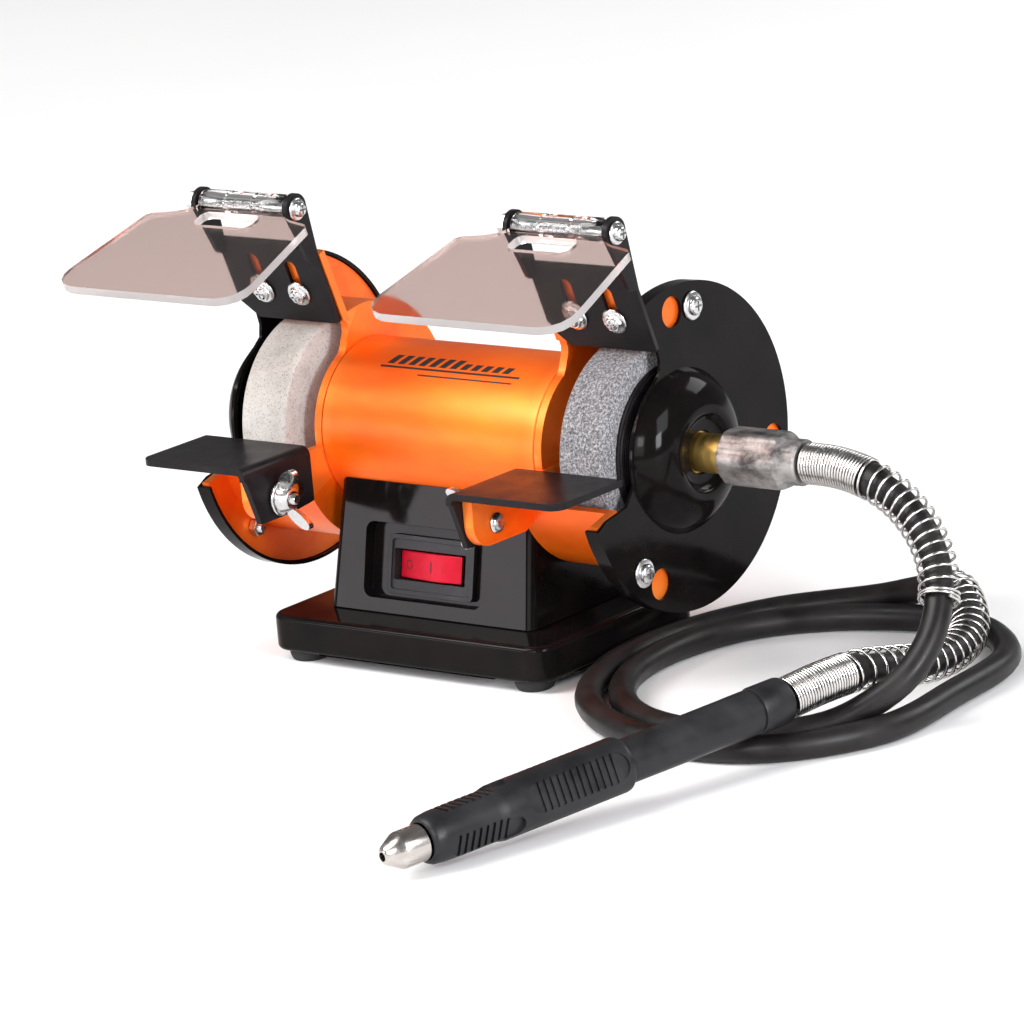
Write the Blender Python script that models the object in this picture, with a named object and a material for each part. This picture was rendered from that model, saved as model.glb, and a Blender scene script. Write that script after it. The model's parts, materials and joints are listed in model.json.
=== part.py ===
"""Bench grinder, 75 mm wheels, with a flexible shaft and handpiece on its right-hand end.

Lengths are in millimetres and become metres when a mesh is made. The assembly is drawn in
spindle coordinates: X along the spindle (+X to the flexible shaft), -Y towards the user, +Z up,
zero at the middle of the motor. The finished part has its origin at the middle of the base's
underside, so the spindle lies at SPINDLE_Y, SPINDLE_Z.
"""
import math

import bmesh
import bpy
from mathutils import Matrix, Vector

MM = 0.001
GAP = 0.3                      # left between pieces that touch
SIDES = (("left", -1), ("right", 1))

# Spindle and wheels
SPINDLE_Y = 7.5
SPINDLE_Z = 72.0
SPINDLE_RADIUS = 4.0
ROTOR_SEAT_RADIUS = 5.0
WHEEL_RADIUS = 37.5
LEFT_WHEEL = (57.0, 77.0)      # distances from the middle of the motor
RIGHT_WHEEL = (64.0, 82.0)
FLANGE_RADIUS = 12.0
POLISHING_FLANGE_RADIUS = 30.0

# Motor
MOTOR_RADIUS = 29.6
MOTOR_WALL = 1.6
MOTOR_HALF_LENGTH = 46.8
CORE_HALF_LENGTH = 24.0
BEARING_RADIUS = 11.0

# Wheel guards
WALL_INNER = 47.1
WALL_OUTER = 50.1
DRUM_RADIUS = 42.0
DRUM_WALL = 2.5
DRUM_END = 84.5
GUARD_CENTRE = (3.5, 0.5)      # of the round flange and cover, off the spindle's axis
FLANGE_OUTER_RADIUS = 55.0
FLANGE_START = 84.2
FLANGE_END = 87.2
COVER_RADIUS = 56.5
COVER_FACE = 88.7
COVER_SHEET = 1.2
COVER_RIM_DEPTH = 5.7
DOME_RADIUS = 28.5
HUB_RISE = 7.2                 # of the dome's flat middle above the cover's face
COVER_SCREW_RADIUS = 48.0
COVER_SCREW_ANGLES = (82.0, -24.0, 229.0)
COVER_HOLE_OFFSET = 13.5       # degrees from each screw to its round hole
DRUM_OPENS = 107.0             # degrees from +Y towards +Z, where the drum ends at the top
DRUM_CLOSES = 197.0            # and where it begins again below the front opening

# Spark deflectors and visors
DEFLECTOR_LEAN = 20.7          # degrees that the plate leans forward
DEFLECTOR_FOOT = (-12.0, 38.0)
DEFLECTOR_SPAN = (47.5, 91.0)
DEFLECTOR_HEIGHT = 31.0
DEFLECTOR_THICK = 1.5
DEFLECTOR_SCREWS = (61.0, 77.5)
DEFLECTOR_SCREW_HEIGHT = 11.8
PIVOT = (-31.0, 82.0)
VISOR_MIDDLE = 69.3
VISOR_DROOP = 18.0             # degrees below horizontal
VISOR_THICK = 3.0

# Tool rests
EAR = (47.0, 51.0)
REST_SPAN = (44.3, 92.0)
REST_FRONT = -75.0
REST_BACK = -39.5
REST_TOP = 0.0
REST_THICK = 2.4
REST_BOLT = (-57.5, -14.0)
BOLT_RADIUS = 2.0
WING_TURN = math.radians(16.0)

# Base and pedestal
BASE_HALF = (61.0, 44.5)
BASE_HEIGHT = 13.0
BASE_WALL = 2.5
BOTTOM_PLATE_THICK = 1.5
CORNER_BLOCK = (40.0, 25.0)    # where the solid corners begin, from the base's middle
FOOT_PLACE = (50.0, 35.5)
FOOT_HEIGHT = 4.0
PEDESTAL_LEAN = math.degrees(math.atan2(10.0, 46.0))
PEDESTAL_FRONT_FOOT = (-36.0, -58.7)
GLAND_PLACE = (0.0, -46.0)
SWITCH_CENTRE = (-3.0, 17.2)  # across, and up the pedestal's front from its foot
RECESS_CENTRE = (-4.0, 18.2)
RECESS_HALF = (26.0, 13.2)
RECESS_DEPTH = 5.0
POCKET_WALL = 2.0

# Flexible shaft and handpiece
ADAPTER_END = 107.9
ADAPTER_COLLAR = (92.6, 94.4)
COUPLING = (108.2, 139.0)
GUARD_TUBE_RADIUS = 7.2
HOSE_RADIUS = 4.75
FLOOR = -FOOT_HEIGHT
HOSE_FACE_GAP = 0.8
MACHINE_GUARD_POINTS = 6       # route points that the guard at the machine covers
HANDPIECE_GUARD_POINTS = 8     # route points that the guard at the handpiece covers
HANDPIECE_TAIL = (178.0, -68.2, 15.5)
HANDPIECE_TIP = (137.3, -223.8, 4.7)

# The flexible shaft's route in the finished part's own coordinates, height measured from the
# surface that the grinder stands on: down from the coupling, round an inner loop, round an
# outer loop beside it, then over both in a low hump to the handpiece.
HOSE_ROUTE = [
    (139.3, 7.5, 76.0), (152.0, 7.4, 75.6), (165.0, 6.8, 72.8), (177.5, 5.0, 67.4),
    (188.5, 1.5, 59.4), (197.0, -4.0, 49.5), (201.8, -11.5, 38.8), (203.4, -20.7, 28.6),
    (200.4, -30.1, 19.4), (192.8, -39.6, 12.0), (183.6, -48.2, 6.8), (172.1, -57.9, 4.8),
    (157.5, -66.5, 4.8), (140.0, -69.3, 4.8), (121.0, -65.2, 4.8), (90.5, -39.5, 4.8),
    (77.0, 1.5, 4.8),
    (86.0, 40.5, 4.8), (116.3, 65.2, 4.8), (157.5, 70.4, 4.8), (188.8, 45.3, 4.8),
    (197.5, -1.2, 4.8), (197.9, -45.5, 4.8), (173.3, -76.1, 4.8), (131.5, -80.5, 4.8),
    (90.0, -57.0, 4.8), (68.4, -13.0, 4.8), (71.2, 35.5, 4.8), (82.0, 57.5, 5.2),
    (119.0, 76.0, 9.6), (136.5, 76.0, 14.2), (153.5, 68.0, 17.6), (167.0, 55.0, 15.6),
    (177.5, 39.0, 12.2), (183.5, 20.0, 11.8), (186.0, 0.5, 13.8), (186.2, -18.0, 17.8),
    (184.8, -36.0, 21.2), (182.0, -52.0, 21.3), (178.2, -67.5, 19.55),
]


# ---------------------------------------------------------------- building blocks

def clear_scene():
    for item in list(bpy.data.objects):
        bpy.data.objects.remove(item, do_unlink=True)


def material(name, colour, roughness, metallic):
    """One Principled material, made once and then shared by name."""
    made = bpy.data.materials.get(name)
    if made:
        return made
    made = bpy.data.materials.new(name)
    made.use_nodes = True
    shader = made.node_tree.nodes["Principled BSDF"]
    shader.inputs["Base Color"].default_value = (*colour, 1.0)
    shader.inputs["Roughness"].default_value = roughness
    shader.inputs["Metallic"].default_value = metallic
    return made


def orange_paint():
    return material("orange_paint", (0.86, 0.24, 0.03), 0.32, 0.25)


def black_paint():
    return material("black_paint", (0.012, 0.012, 0.013), 0.22, 0.0)


def satin_black():
    return material("satin_black", (0.018, 0.018, 0.02), 0.42, 0.0)


def zinc_plate():
    return material("zinc_plate", (0.72, 0.72, 0.70), 0.28, 1.0)


def machined_steel():
    return material("machined_steel", (0.58, 0.58, 0.58), 0.30, 1.0)


def black_rubber():
    return material("black_rubber", (0.015, 0.015, 0.015), 0.72, 0.0)


def black_plastic():
    return material("black_plastic", (0.02, 0.02, 0.02), 0.5, 0.0)


def object_from(bm, name, finish, origin=(0.0, 0.0, 0.0)):
    """Close a bmesh drawn in spindle millimetres into an object whose origin is given there."""
    bmesh.ops.recalc_face_normals(bm, faces=bm.faces)
    shift = Vector(origin)
    for vert in bm.verts:
        vert.co = (vert.co - shift) * MM
    mesh = bpy.data.meshes.new(name)
    bm.to_mesh(mesh)
    bm.free()
    made = bpy.data.objects.new(name, mesh)
    made.location = (shift + Vector((0.0, SPINDLE_Y, SPINDLE_Z))) * MM
    if finish:
        mesh.materials.append(finish)
    bpy.context.scene.collection.objects.link(made)
    return made


def smooth(piece, angle=32.0):
    piece.data.shade_smooth()
    piece.data.set_sharp_from_angle(angle=math.radians(angle))
    return piece


def arc(centre, radius, start, stop, steps):
    """Points of an arc in the Y-Z plane, angles in degrees from +Y towards +Z."""
    points = []
    for step in range(steps + 1):
        angle = math.radians(start + (stop - start) * step / steps)
        points.append((centre[0] + radius * math.cos(angle), centre[1] + radius * math.sin(angle)))
    return points


def extrude(outline, start, end, to_space):
    """A prism: each outline point and each of two depths goes through to_space."""
    bm = bmesh.new()
    near = [bm.verts.new(to_space(a, b, start)) for a, b in outline]
    far = [bm.verts.new(to_space(a, b, end)) for a, b in outline]
    bm.faces.new(near)
    bm.faces.new(list(reversed(far)))
    for index in range(len(outline)):
        after = (index + 1) % len(outline)
        bm.faces.new((near[index], far[index], far[after], near[after]))
    return bm


def prism_x(outline, start, end):
    """A prism along X from an outline in Y and Z."""
    return extrude(outline, start, end, lambda y, z, x: Vector((x, y, z)))


def prism_z(outline, start, end):
    """A prism along Z from an outline in X and Y."""
    return extrude(outline, start, end, lambda x, y, z: Vector((x, y, z)))


def turned(profile, segments, centre=(0.0, 0.0)):
    """A body turned about an axis along X; profile holds (x, radius) from end to end.

    A profile that starts and ends on the axis is closed there, and one that doesn't is joined
    from its last point to its first, which leaves a bore.
    """
    bm = bmesh.new()
    on_axis = profile[0][1] == 0.0
    rings = []
    for x, radius in profile:
        if radius == 0.0:
            rings.append([bm.verts.new((x, centre[0], centre[1]))])
            continue
        ring = []
        for step in range(segments):
            angle = math.tau * step / segments
            ring.append(bm.verts.new((x, centre[0] + radius * math.cos(angle),
                                      centre[1] + radius * math.sin(angle))))
        rings.append(ring)
    last = len(rings) - 1 if on_axis else len(rings)
    for index in range(last):
        join_rings(bm, rings[index], rings[(index + 1) % len(rings)])
    return bm


def join_rings(bm, first, second):
    count = max(len(first), len(second))
    for step in range(count):
        after = (step + 1) % count
        if len(first) == 1:
            bm.faces.new((first[0], second[step], second[after]))
        elif len(second) == 1:
            bm.faces.new((first[step], second[0], first[after]))
        else:
            bm.faces.new((first[step], second[step], second[after], first[after]))


def hexagon_radius(half_flat, angle):
    """Distance from the middle of a hexagon to its edge, at an angle in radians."""
    sixth = math.pi / 3.0
    return half_flat / math.cos((angle % sixth) - sixth / 2.0)


def nut_ring(start, end, bore, half_flat, centre=(0.0, 0.0), segments=12):
    """A hexagonal nut with a round bore, along X."""
    bm = bmesh.new()
    loops = []
    for x, is_bore in ((start, True), (start, False), (end, False), (end, True)):
        ring = []
        for step in range(segments):
            angle = math.tau * step / segments
            radius = bore if is_bore else hexagon_radius(half_flat, angle)
            ring.append(bm.verts.new((x, centre[0] + radius * math.cos(angle),
                                      centre[1] + radius * math.sin(angle))))
        loops.append(ring)
    for index in range(4):
        join_rings(bm, loops[index], loops[(index + 1) % 4])
    return bm


def mirrored(points, side):
    """Profile or span distances from the middle, carried to one side of the motor."""
    return [(side * x, other) for x, other in points]


def boolean(target, tool, operation):
    """Join or cut two closed meshes and keep the result as the target's own mesh."""
    step = target.modifiers.new("shape", "BOOLEAN")
    step.operation = operation
    step.solver = "EXACT"
    step.object = tool
    bpy.context.view_layer.update()
    graph = bpy.context.evaluated_depsgraph_get()
    result = bpy.data.meshes.new_from_object(target.evaluated_get(graph))
    target.modifiers.remove(step)
    target.data = result
    bpy.data.objects.remove(tool, do_unlink=True)
    return target


def unite(target, bm, origin=(0.0, 0.0, 0.0)):
    return boolean(target, object_from(bm, "joined_shape", None, origin), "UNION")


def cut(target, bm, origin=(0.0, 0.0, 0.0)):
    return boolean(target, object_from(bm, "cutter", None, origin), "DIFFERENCE")


def rod(start, end, radius, segments, centre=(0.0, 0.0)):
    """A plain rod along X."""
    return turned([(start, 0.0), (start, radius), (end, radius), (end, 0.0)], segments, centre)


def rounded_rectangle(half_x, half_y, radius, steps=4, middle=(0.0, 0.0)):
    points = []
    corners = ((1, 1, 0.0), (-1, 1, 90.0), (-1, -1, 180.0), (1, -1, 270.0))
    for sign_x, sign_y, start in corners:
        centre = (middle[0] + sign_x * (half_x - radius), middle[1] + sign_y * (half_y - radius))
        points += arc(centre, radius, start, start + 90.0, steps)
    return points


# ---------------------------------------------------------------- base, pedestal and switch

def build_base():
    top = -SPINDLE_Z + BASE_HEIGHT
    underside = -SPINDLE_Z
    middle = (0.0, -SPINDLE_Y)
    half_x, half_y = BASE_HALF
    outline = rounded_rectangle(half_x, half_y, 8.0, 5, middle)
    housing = object_from(prism_z(outline, underside, top), "base_housing", black_paint())
    cut(housing, prism_z(between_corners(0.0), underside - 5.0, top - BASE_WALL))
    wire_way = rounded_rectangle(12.0, 8.0, 4.0, 3, (0.0, 8.0))
    cut(housing, prism_z(wire_way, top - 5.0, top + 5.0))
    rounding = housing.modifiers.new("rounded_top", "BEVEL")
    rounding.width = 1.5 * MM
    rounding.segments = 1
    rounding.limit_method = "ANGLE"
    rounding.angle_limit = math.radians(60.0)
    smooth(housing)
    closing = prism_z(between_corners(GAP), underside, underside + BOTTOM_PLATE_THICK)
    object_from(closing, "bottom_plate", zinc_plate())


def between_corners(inset):
    """A cross inside the base's walls, clear of the corner blocks that carry the feet."""
    long_x, short_x = BASE_HALF[0] - BASE_WALL - inset, CORNER_BLOCK[0] - inset
    long_y, short_y = BASE_HALF[1] - BASE_WALL - inset, CORNER_BLOCK[1] - inset
    trim = 2.0
    quarter = [(long_x, short_y - trim), (long_x - trim, short_y), (short_x, short_y),
               (short_x, long_y - trim), (short_x - trim, long_y)]
    outline = []
    for sign_x, sign_y in ((1, 1), (-1, 1), (-1, -1), (1, -1)):
        corner = [(sign_x * x, sign_y * y - SPINDLE_Y) for x, y in quarter]
        outline += corner if sign_x == sign_y else list(reversed(corner))
    return outline


def build_feet():
    place_x, place_y = FOOT_PLACE
    for name, sign_x, sign_y in (("front_left", -1, -1), ("front_right", 1, -1),
                                 ("rear_left", -1, 1), ("rear_right", 1, 1)):
        middle = (sign_x * place_x, sign_y * place_y - SPINDLE_Y)
        outline = arc(middle, 7.0, 0.0, 337.5, 15)
        low = -SPINDLE_Z - FOOT_HEIGHT
        foot = object_from(prism_z(outline, low, -SPINDLE_Z - GAP), "foot_" + name, black_rubber())
        smooth(foot)


def face_point(across, up, out):
    """A point on the leaning front of the pedestal: across, up from its foot, and out of it."""
    lean = math.radians(PEDESTAL_LEAN)
    y = PEDESTAL_FRONT_FOOT[0] + up * math.sin(lean) - out * math.cos(lean)
    z = PEDESTAL_FRONT_FOOT[1] + up * math.cos(lean) + out * math.sin(lean)
    return Vector((across, y, z))


def tapered_block(bottom, top, low, high):
    """A four-sided block; bottom and top are (half width, front Y, rear Y)."""
    bm = bmesh.new()
    layers = []
    for (half, front, rear), z in ((bottom, low), (top, high)):
        corners = ((-half, front), (half, front), (half, rear), (-half, rear))
        layers.append([bm.verts.new((x, y, z)) for x, y in corners])
    bm.faces.new(layers[0])
    bm.faces.new(layers[1])
    for index in range(4):
        after = (index + 1) % 4
        bm.faces.new((layers[0][index], layers[0][after], layers[1][after], layers[1][index]))
    return bm


def build_pedestal():
    foot = PEDESTAL_FRONT_FOOT[1]
    body = object_from(tapered_block((45.0, -36.0, 31.0), (42.5, -26.2, 25.0), foot, -13.0),
                       "pedestal", black_paint())
    cut(body, rod(-60.0, 60.0, MOTOR_RADIUS + GAP, 40))
    cut(body, tapered_block((42.0, -32.6, 28.0), (40.5, -27.5, 25.5), foot - 1.0, -33.5))
    half_across, half_up = RECESS_HALF
    pocket = rounded_rectangle(half_across + POCKET_WALL, half_up + POCKET_WALL, 4.0, 3,
                               RECESS_CENTRE)
    unite(body, extrude(pocket, -RECESS_DEPTH - POCKET_WALL, -1.0, face_point))
    recess = rounded_rectangle(half_across, half_up, 3.0, 3, RECESS_CENTRE)
    cut(body, extrude(recess, -RECESS_DEPTH, 4.0, face_point))
    window = rounded_rectangle(17.4, 8.0, 1.0, 2, SWITCH_CENTRE)
    cut(body, extrude(window, -RECESS_DEPTH - 6.0, 4.0, face_point))
    cut(body, prism_y_hole(GLAND_PLACE, 5.3, 20.0, 40.0))
    rounding = body.modifiers.new("rounded_edges", "BEVEL")
    rounding.width = 1.2 * MM
    rounding.segments = 1
    rounding.limit_method = "ANGLE"
    rounding.angle_limit = math.radians(50.0)
    smooth(body)


def prism_y_hole(centre, radius, start, end):
    """A round cutter along Y."""
    outline = arc(centre, radius, 0.0, 337.5, 15)
    return extrude(outline, start, end, lambda x, z, y: Vector((x, y, z)))


def build_switch():
    across, up = SWITCH_CENTRE
    floor = -RECESS_DEPTH
    bezel = rounded_rectangle(19.0, 10.4, 2.0, 3, SWITCH_CENTRE)
    body = object_from(extrude(bezel, floor + GAP, floor + 2.2, face_point), "switch_body",
                       black_plastic())
    throat = rounded_rectangle(17.0, 7.6, 0.8, 2, SWITCH_CENTRE)
    unite(body, extrude(throat, floor - 14.4, floor + 1.9, face_point))
    opening = rounded_rectangle(15.7, 5.4, 0.4, 1, (across - 1.0, up))
    cut(body, extrude(opening, floor - 7.4, floor + 6.0, face_point))
    middle = (across - 1.0, up, floor - 1.4)
    pivot = face_point(*middle)
    bm = bmesh.new()
    profile = rocker_profile()
    layers = []
    for height in (-4.8, 4.8):
        layers.append([bm.verts.new(face_point(middle[0] + along, middle[1] + height,
                                               middle[2] + out))
                       for along, out in profile])
    bm.faces.new(layers[0])
    bm.faces.new(layers[1])
    for index in range(len(profile)):
        after = (index + 1) % len(profile)
        bm.faces.new((layers[0][index], layers[0][after], layers[1][after], layers[1][index]))
    rocker = object_from(bm, "switch_rocker",
                         material("red_plastic", (0.62, 0.01, 0.02), 0.3, 0.0), pivot)
    smooth(rocker)


def rocker_profile():
    """The rocker seen from above: its left half pressed in and its right half standing out."""
    rest_tilt = math.radians(9.0)
    flat = [(-14.9, 2.2), (0.0, 4.4), (14.9, 2.2), (13.0, -1.0), (4.0, -4.0), (-4.0, -4.0),
            (-13.0, -1.0)]
    cos, sin = math.cos(rest_tilt), math.sin(rest_tilt)
    return [(a * cos - b * sin, a * sin + b * cos) for a, b in flat]


def build_cord_gland():
    """The inlet at the back of the pedestal, with nothing in it."""
    outer = [(29.2, 7.4), (31.6, 7.4), (33.0, 6.2), (37.0, 5.8), (37.0, 3.6), (27.0, 3.6),
             (27.0, 4.9), (29.2, 4.9)]
    bm = turned(outer, 14)
    for vert in bm.verts:
        x, y, z = vert.co
        vert.co = Vector((y, x + 1.5, z + GLAND_PLACE[1]))
    smooth(object_from(bm, "cord_gland", black_rubber()))


# ---------------------------------------------------------------- motor and spindle

def build_motor():
    inner = MOTOR_RADIUS - MOTOR_WALL
    half = MOTOR_HALF_LENGTH
    shell = [(-half, inner), (-half, MOTOR_RADIUS), (half, MOTOR_RADIUS), (half, inner)]
    smooth(object_from(turned(shell, 44), "motor_shell", orange_paint()))
    core = CORE_HALF_LENGTH
    ring = [(-core, 18.0), (-core, inner - GAP), (core, inner - GAP), (core, 18.0)]
    lamination = material("lamination_steel", (0.3, 0.3, 0.32), 0.5, 1.0)
    smooth(object_from(turned(ring, 24), "stator", lamination))
    ring = [(-core, ROTOR_SEAT_RADIUS + GAP), (-core, 17.0), (core, 17.0),
            (core, ROTOR_SEAT_RADIUS + GAP)]
    smooth(object_from(turned(ring, 20), "rotor", lamination))


def build_spindle():
    seat = ROTOR_SEAT_RADIUS
    run = SPINDLE_RADIUS
    profile = [(-86.5, 0.0), (-86.5, run), (-51.8, run), (-51.8, seat), (51.8, seat), (51.8, run),
               (97.5, run), (97.5, 0.0)]
    smooth(object_from(turned(profile, 16), "spindle", machined_steel()))
    for name, side in SIDES:
        ring = [(44.0, seat + GAP), (44.0, BEARING_RADIUS), (51.0, BEARING_RADIUS),
                (51.0, seat + GAP)]
        bearing = object_from(turned(mirrored(ring, side), 18), "bearing_" + name, machined_steel())
        smooth(bearing)


def build_wheels():
    bore = SPINDLE_RADIUS + GAP
    spans = {"left": LEFT_WHEEL, "right": RIGHT_WHEEL}
    outer_radius = {"left": FLANGE_RADIUS, "right": POLISHING_FLANGE_RADIUS}
    wheel_finish = {
        "left": material("white_alumina", (0.78, 0.77, 0.73), 0.85, 0.0),
        "right": material("grey_fleece", (0.27, 0.28, 0.29), 0.95, 0.0),
    }
    for name, side in SIDES:
        start, end = spans[name]
        ring = [(start, bore), (start, WHEEL_RADIUS), (end, WHEEL_RADIUS), (end, bore)]
        smooth(object_from(turned(mirrored(ring, side), 36), "wheel_" + name, wheel_finish[name]))
        ring = [(52.2, bore), (52.2, 8.0), (start - 2.6, 8.0), (start - 2.6, FLANGE_RADIUS),
                (start - GAP, FLANGE_RADIUS), (start - GAP, bore)]
        smooth(object_from(turned(mirrored(ring, side), 16), "inner_flange_" + name, satin_black()))
        ring = [(end + GAP, bore), (end + GAP, outer_radius[name]),
                (end + 2.3, outer_radius[name] - 1.0), (end + 2.3, bore)]
        smooth(object_from(turned(mirrored(ring, side), 24), "outer_flange_" + name, satin_black()))
        nut = nut_ring(side * (end + 2.6), side * (end + 5.4), bore, 6.5)
        object_from(nut, "spindle_nut_" + name, zinc_plate())


# ---------------------------------------------------------------- wheel guards

def end_wall_outline():
    drum = arc((0.0, 0.0), DRUM_RADIUS, DRUM_CLOSES, DRUM_OPENS + 360.0, 30)
    throat = [(-10.4, 31.0)]
    front = arc((0.0, 0.0), MOTOR_RADIUS - 0.1, 115.5, DRUM_CLOSES, 8)
    return drum + throat + front


def leaning(height, out):
    """A point of the deflector's plane: height along it, and out towards the user."""
    lean = math.radians(DEFLECTOR_LEAN)
    y = DEFLECTOR_FOOT[0] - height * math.sin(lean) - out * math.cos(lean)
    z = DEFLECTOR_FOOT[1] + height * math.cos(lean) - out * math.sin(lean)
    return (y, z)


def screw_point(angle):
    turn = math.radians(angle)
    return (GUARD_CENTRE[0] + COVER_SCREW_RADIUS * math.cos(turn),
            GUARD_CENTRE[1] + COVER_SCREW_RADIUS * math.sin(turn))


def build_end_bell(name, side):
    """Motor end wall, wheel drum, outer flange, deflector pad and tool rest ear, in one casting."""
    bell = object_from(prism_x(end_wall_outline(), side * WALL_INNER, side * WALL_OUTER),
                       "end_bell_" + name, orange_paint())
    inner = DRUM_RADIUS - DRUM_WALL
    drum = (arc((0.0, 0.0), DRUM_RADIUS, DRUM_CLOSES, DRUM_OPENS + 360.0, 30)
            + arc((0.0, 0.0), inner, DRUM_OPENS + 360.0, DRUM_CLOSES, 30))
    unite(bell, prism_x(drum, side * (WALL_OUTER - 1.0), side * DRUM_END))
    flange = (arc(GUARD_CENTRE, FLANGE_OUTER_RADIUS, 196.0, 360.0 + 107.5, 34)
              + arc((0.0, 0.0), inner, DRUM_OPENS + 360.0, DRUM_CLOSES, 30))
    unite(bell, prism_x(flange, side * FLANGE_START, side * FLANGE_END))
    pad = [leaning(-1.5, -3.0), leaning(27.8, -3.0), leaning(27.8, 0.0), leaning(0.0, 0.0)]
    unite(bell, prism_x(pad, side * 47.0, side * 82.5))
    ear = ([(-24.0, -3.0), (-69.5, -3.0)] + arc((-61.0, -12.5), 8.5, 180.0, 270.0, 5)
           + [(-42.0, -21.0), (-24.0, -14.0)])
    unite(bell, prism_x(ear, side * EAR[0], side * EAR[1]))
    boss = [(43.2, 0.0), (43.2, BEARING_RADIUS + 3.0), (48.0, BEARING_RADIUS + 3.0), (48.0, 0.0)]
    unite(bell, turned(mirrored(boss, side), 18))
    cut(bell, rod(side * 40.0, side * 55.0, BEARING_RADIUS + GAP, 18))
    cut(bell, rod(side * 40.0, side * 55.0, BOLT_RADIUS + 0.4, 12, REST_BOLT))
    for angle in COVER_SCREW_ANGLES:
        cut(bell, rod(side * 80.0, side * 90.0, 2.1, 8, screw_point(angle)))
    for across in DEFLECTOR_SCREWS:
        cut(bell, leaning_rod(side * across, DEFLECTOR_SCREW_HEIGHT, -5.0, 3.0, 2.0, 10))
    smooth(bell)


def leaning_rod(across, height, start, end, radius, segments):
    """A rod at right angles to the deflector's plane."""
    circle = []
    for step in range(segments):
        angle = math.tau * step / segments
        circle.append((across + radius * math.cos(angle), height + radius * math.sin(angle)))
    return extrude(circle, start, end, leaning_space)


def leaning_space(across, height, out):
    y, z = leaning(height, out)
    return Vector((across, y, z))


def cover_outline(radius):
    """The cover's edge: round behind, stepped back in front to bare the wheel."""
    round_part = arc(GUARD_CENTRE, radius, 197.0, 360.0 + 110.5, 36)
    notch = [leaning(3.0, -1.6), (-9.6, 33.4), (-10.3, 28.9)]
    beside_dome = arc((0.0, 0.0), DOME_RADIUS + 1.0, 118.0, 190.0, 8)
    lower_edge = [(-34.0, -11.5), (-45.4, -13.4)]
    return round_part + notch + beside_dome + lower_edge


def build_cover(name, side):
    sheet = prism_x(cover_outline(COVER_RADIUS), side * (COVER_FACE - COVER_SHEET),
                    side * COVER_FACE)
    cover = object_from(sheet, "guard_cover_" + name, black_paint())
    cut(cover, rod(side * 80.0, side * 95.0, DOME_RADIUS - 1.0, 24))
    rim_inner = COVER_RADIUS - COVER_SHEET
    rim = (arc(GUARD_CENTRE, COVER_RADIUS, 197.0, 360.0 + 110.5, 36)
           + arc(GUARD_CENTRE, rim_inner, 360.0 + 110.5, 197.0, 36))
    unite(cover, prism_x(rim, side * (COVER_FACE - COVER_RIM_DEPTH), side * (COVER_FACE - 0.4)))
    crown = [(0.0, DOME_RADIUS), (4.6, 25.8), (8.2, 20.5), (9.4, 14.5), (HUB_RISE, 11.4)]
    outside = [(COVER_FACE + rise, radius) for rise, radius in crown]
    inside = [(x - COVER_SHEET, radius) for x, radius in reversed(outside)]
    if side > 0:
        hub = [(COVER_FACE + HUB_RISE, 7.2), (COVER_FACE + HUB_RISE - COVER_SHEET, 7.2)]
        unite(cover, turned(mirrored(outside + hub + inside, side), 24))
    else:
        hub = [(COVER_FACE + HUB_RISE, 0.0)]
        back = [(COVER_FACE + HUB_RISE - COVER_SHEET, 0.0)]
        unite(cover, turned(mirrored(list(reversed(outside + hub)), side)
                            + mirrored(list(reversed(back + inside)), side), 48))
    for angle in COVER_SCREW_ANGLES:
        cut(cover, rod(side * 80.0, side * 95.0, 2.1, 8, screw_point(angle)))
        cut(cover, rod(side * 80.0, side * 95.0, 5.4, 12, screw_point(angle + COVER_HOLE_OFFSET)))
    smooth(cover)


def build_cover_screws(name, side):
    """Washer-head screws, each with its nut and thread end behind the flange."""
    profile = [(79.6, 0.0), (79.6, 1.8), (81.0, 1.8), (81.0, 2.9), (83.9, 2.9), (83.9, 1.8),
               (89.0, 1.8), (89.0, 4.9), (89.7, 4.9), (89.7, 3.4), (91.6, 3.0), (91.6, 0.0)]
    for place, angle in zip(("upper", "rear", "lower"), COVER_SCREW_ANGLES):
        bm = turned(mirrored(profile, side), 10, screw_point(angle))
        smooth(object_from(bm, "cover_screw_" + place + "_" + name, zinc_plate()))


# ---------------------------------------------------------------- deflectors and visors

def build_deflector(name, side):
    """Both plates are the same stamping, so the cut corner is on the same hand on both sides."""
    start, end = sorted(side * distance for distance in DEFLECTOR_SPAN)
    near, far = GAP, GAP + DEFLECTOR_THICK
    corner = 7.0
    outline = [(start + corner, 0.0), (end, 0.0), (end, DEFLECTOR_HEIGHT),
               (start, DEFLECTOR_HEIGHT), (start, corner)]
    plate = object_from(extrude(outline, near, far, leaning_space), "deflector_" + name,
                        satin_black())
    pivot_height, pivot_out = pivot_on_plane()
    for tab_start in (start, end - 1.8):
        tab = (arc((pivot_height, pivot_out), 4.4, -90.0, 90.0, 6)
               + [(26.0, near + 4.4), (26.0, near)])
        bm = extrude(tab, tab_start, tab_start + 1.8,
                     lambda height, out, across: leaning_space(across, height, out))
        unite(plate, bm)
        cut(plate, rod(tab_start - 4.0, tab_start + 4.0, 2.3, 12, PIVOT))
    for across in DEFLECTOR_SCREWS:
        slot = slot_outline(side * across, DEFLECTOR_SCREW_HEIGHT - 4.4, 25.0, 2.4)
        cut(plate, extrude(slot, near - 2.0, far + 2.0, leaning_space))
    smooth(plate)


def pivot_on_plane():
    """The visor pivot in the deflector's own coordinates: height along it and out from it."""
    lean = math.radians(DEFLECTOR_LEAN)
    y, z = PIVOT[0] - DEFLECTOR_FOOT[0], PIVOT[1] - DEFLECTOR_FOOT[1]
    return (z * math.cos(lean) - y * math.sin(lean), -y * math.cos(lean) - z * math.sin(lean))


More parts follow.
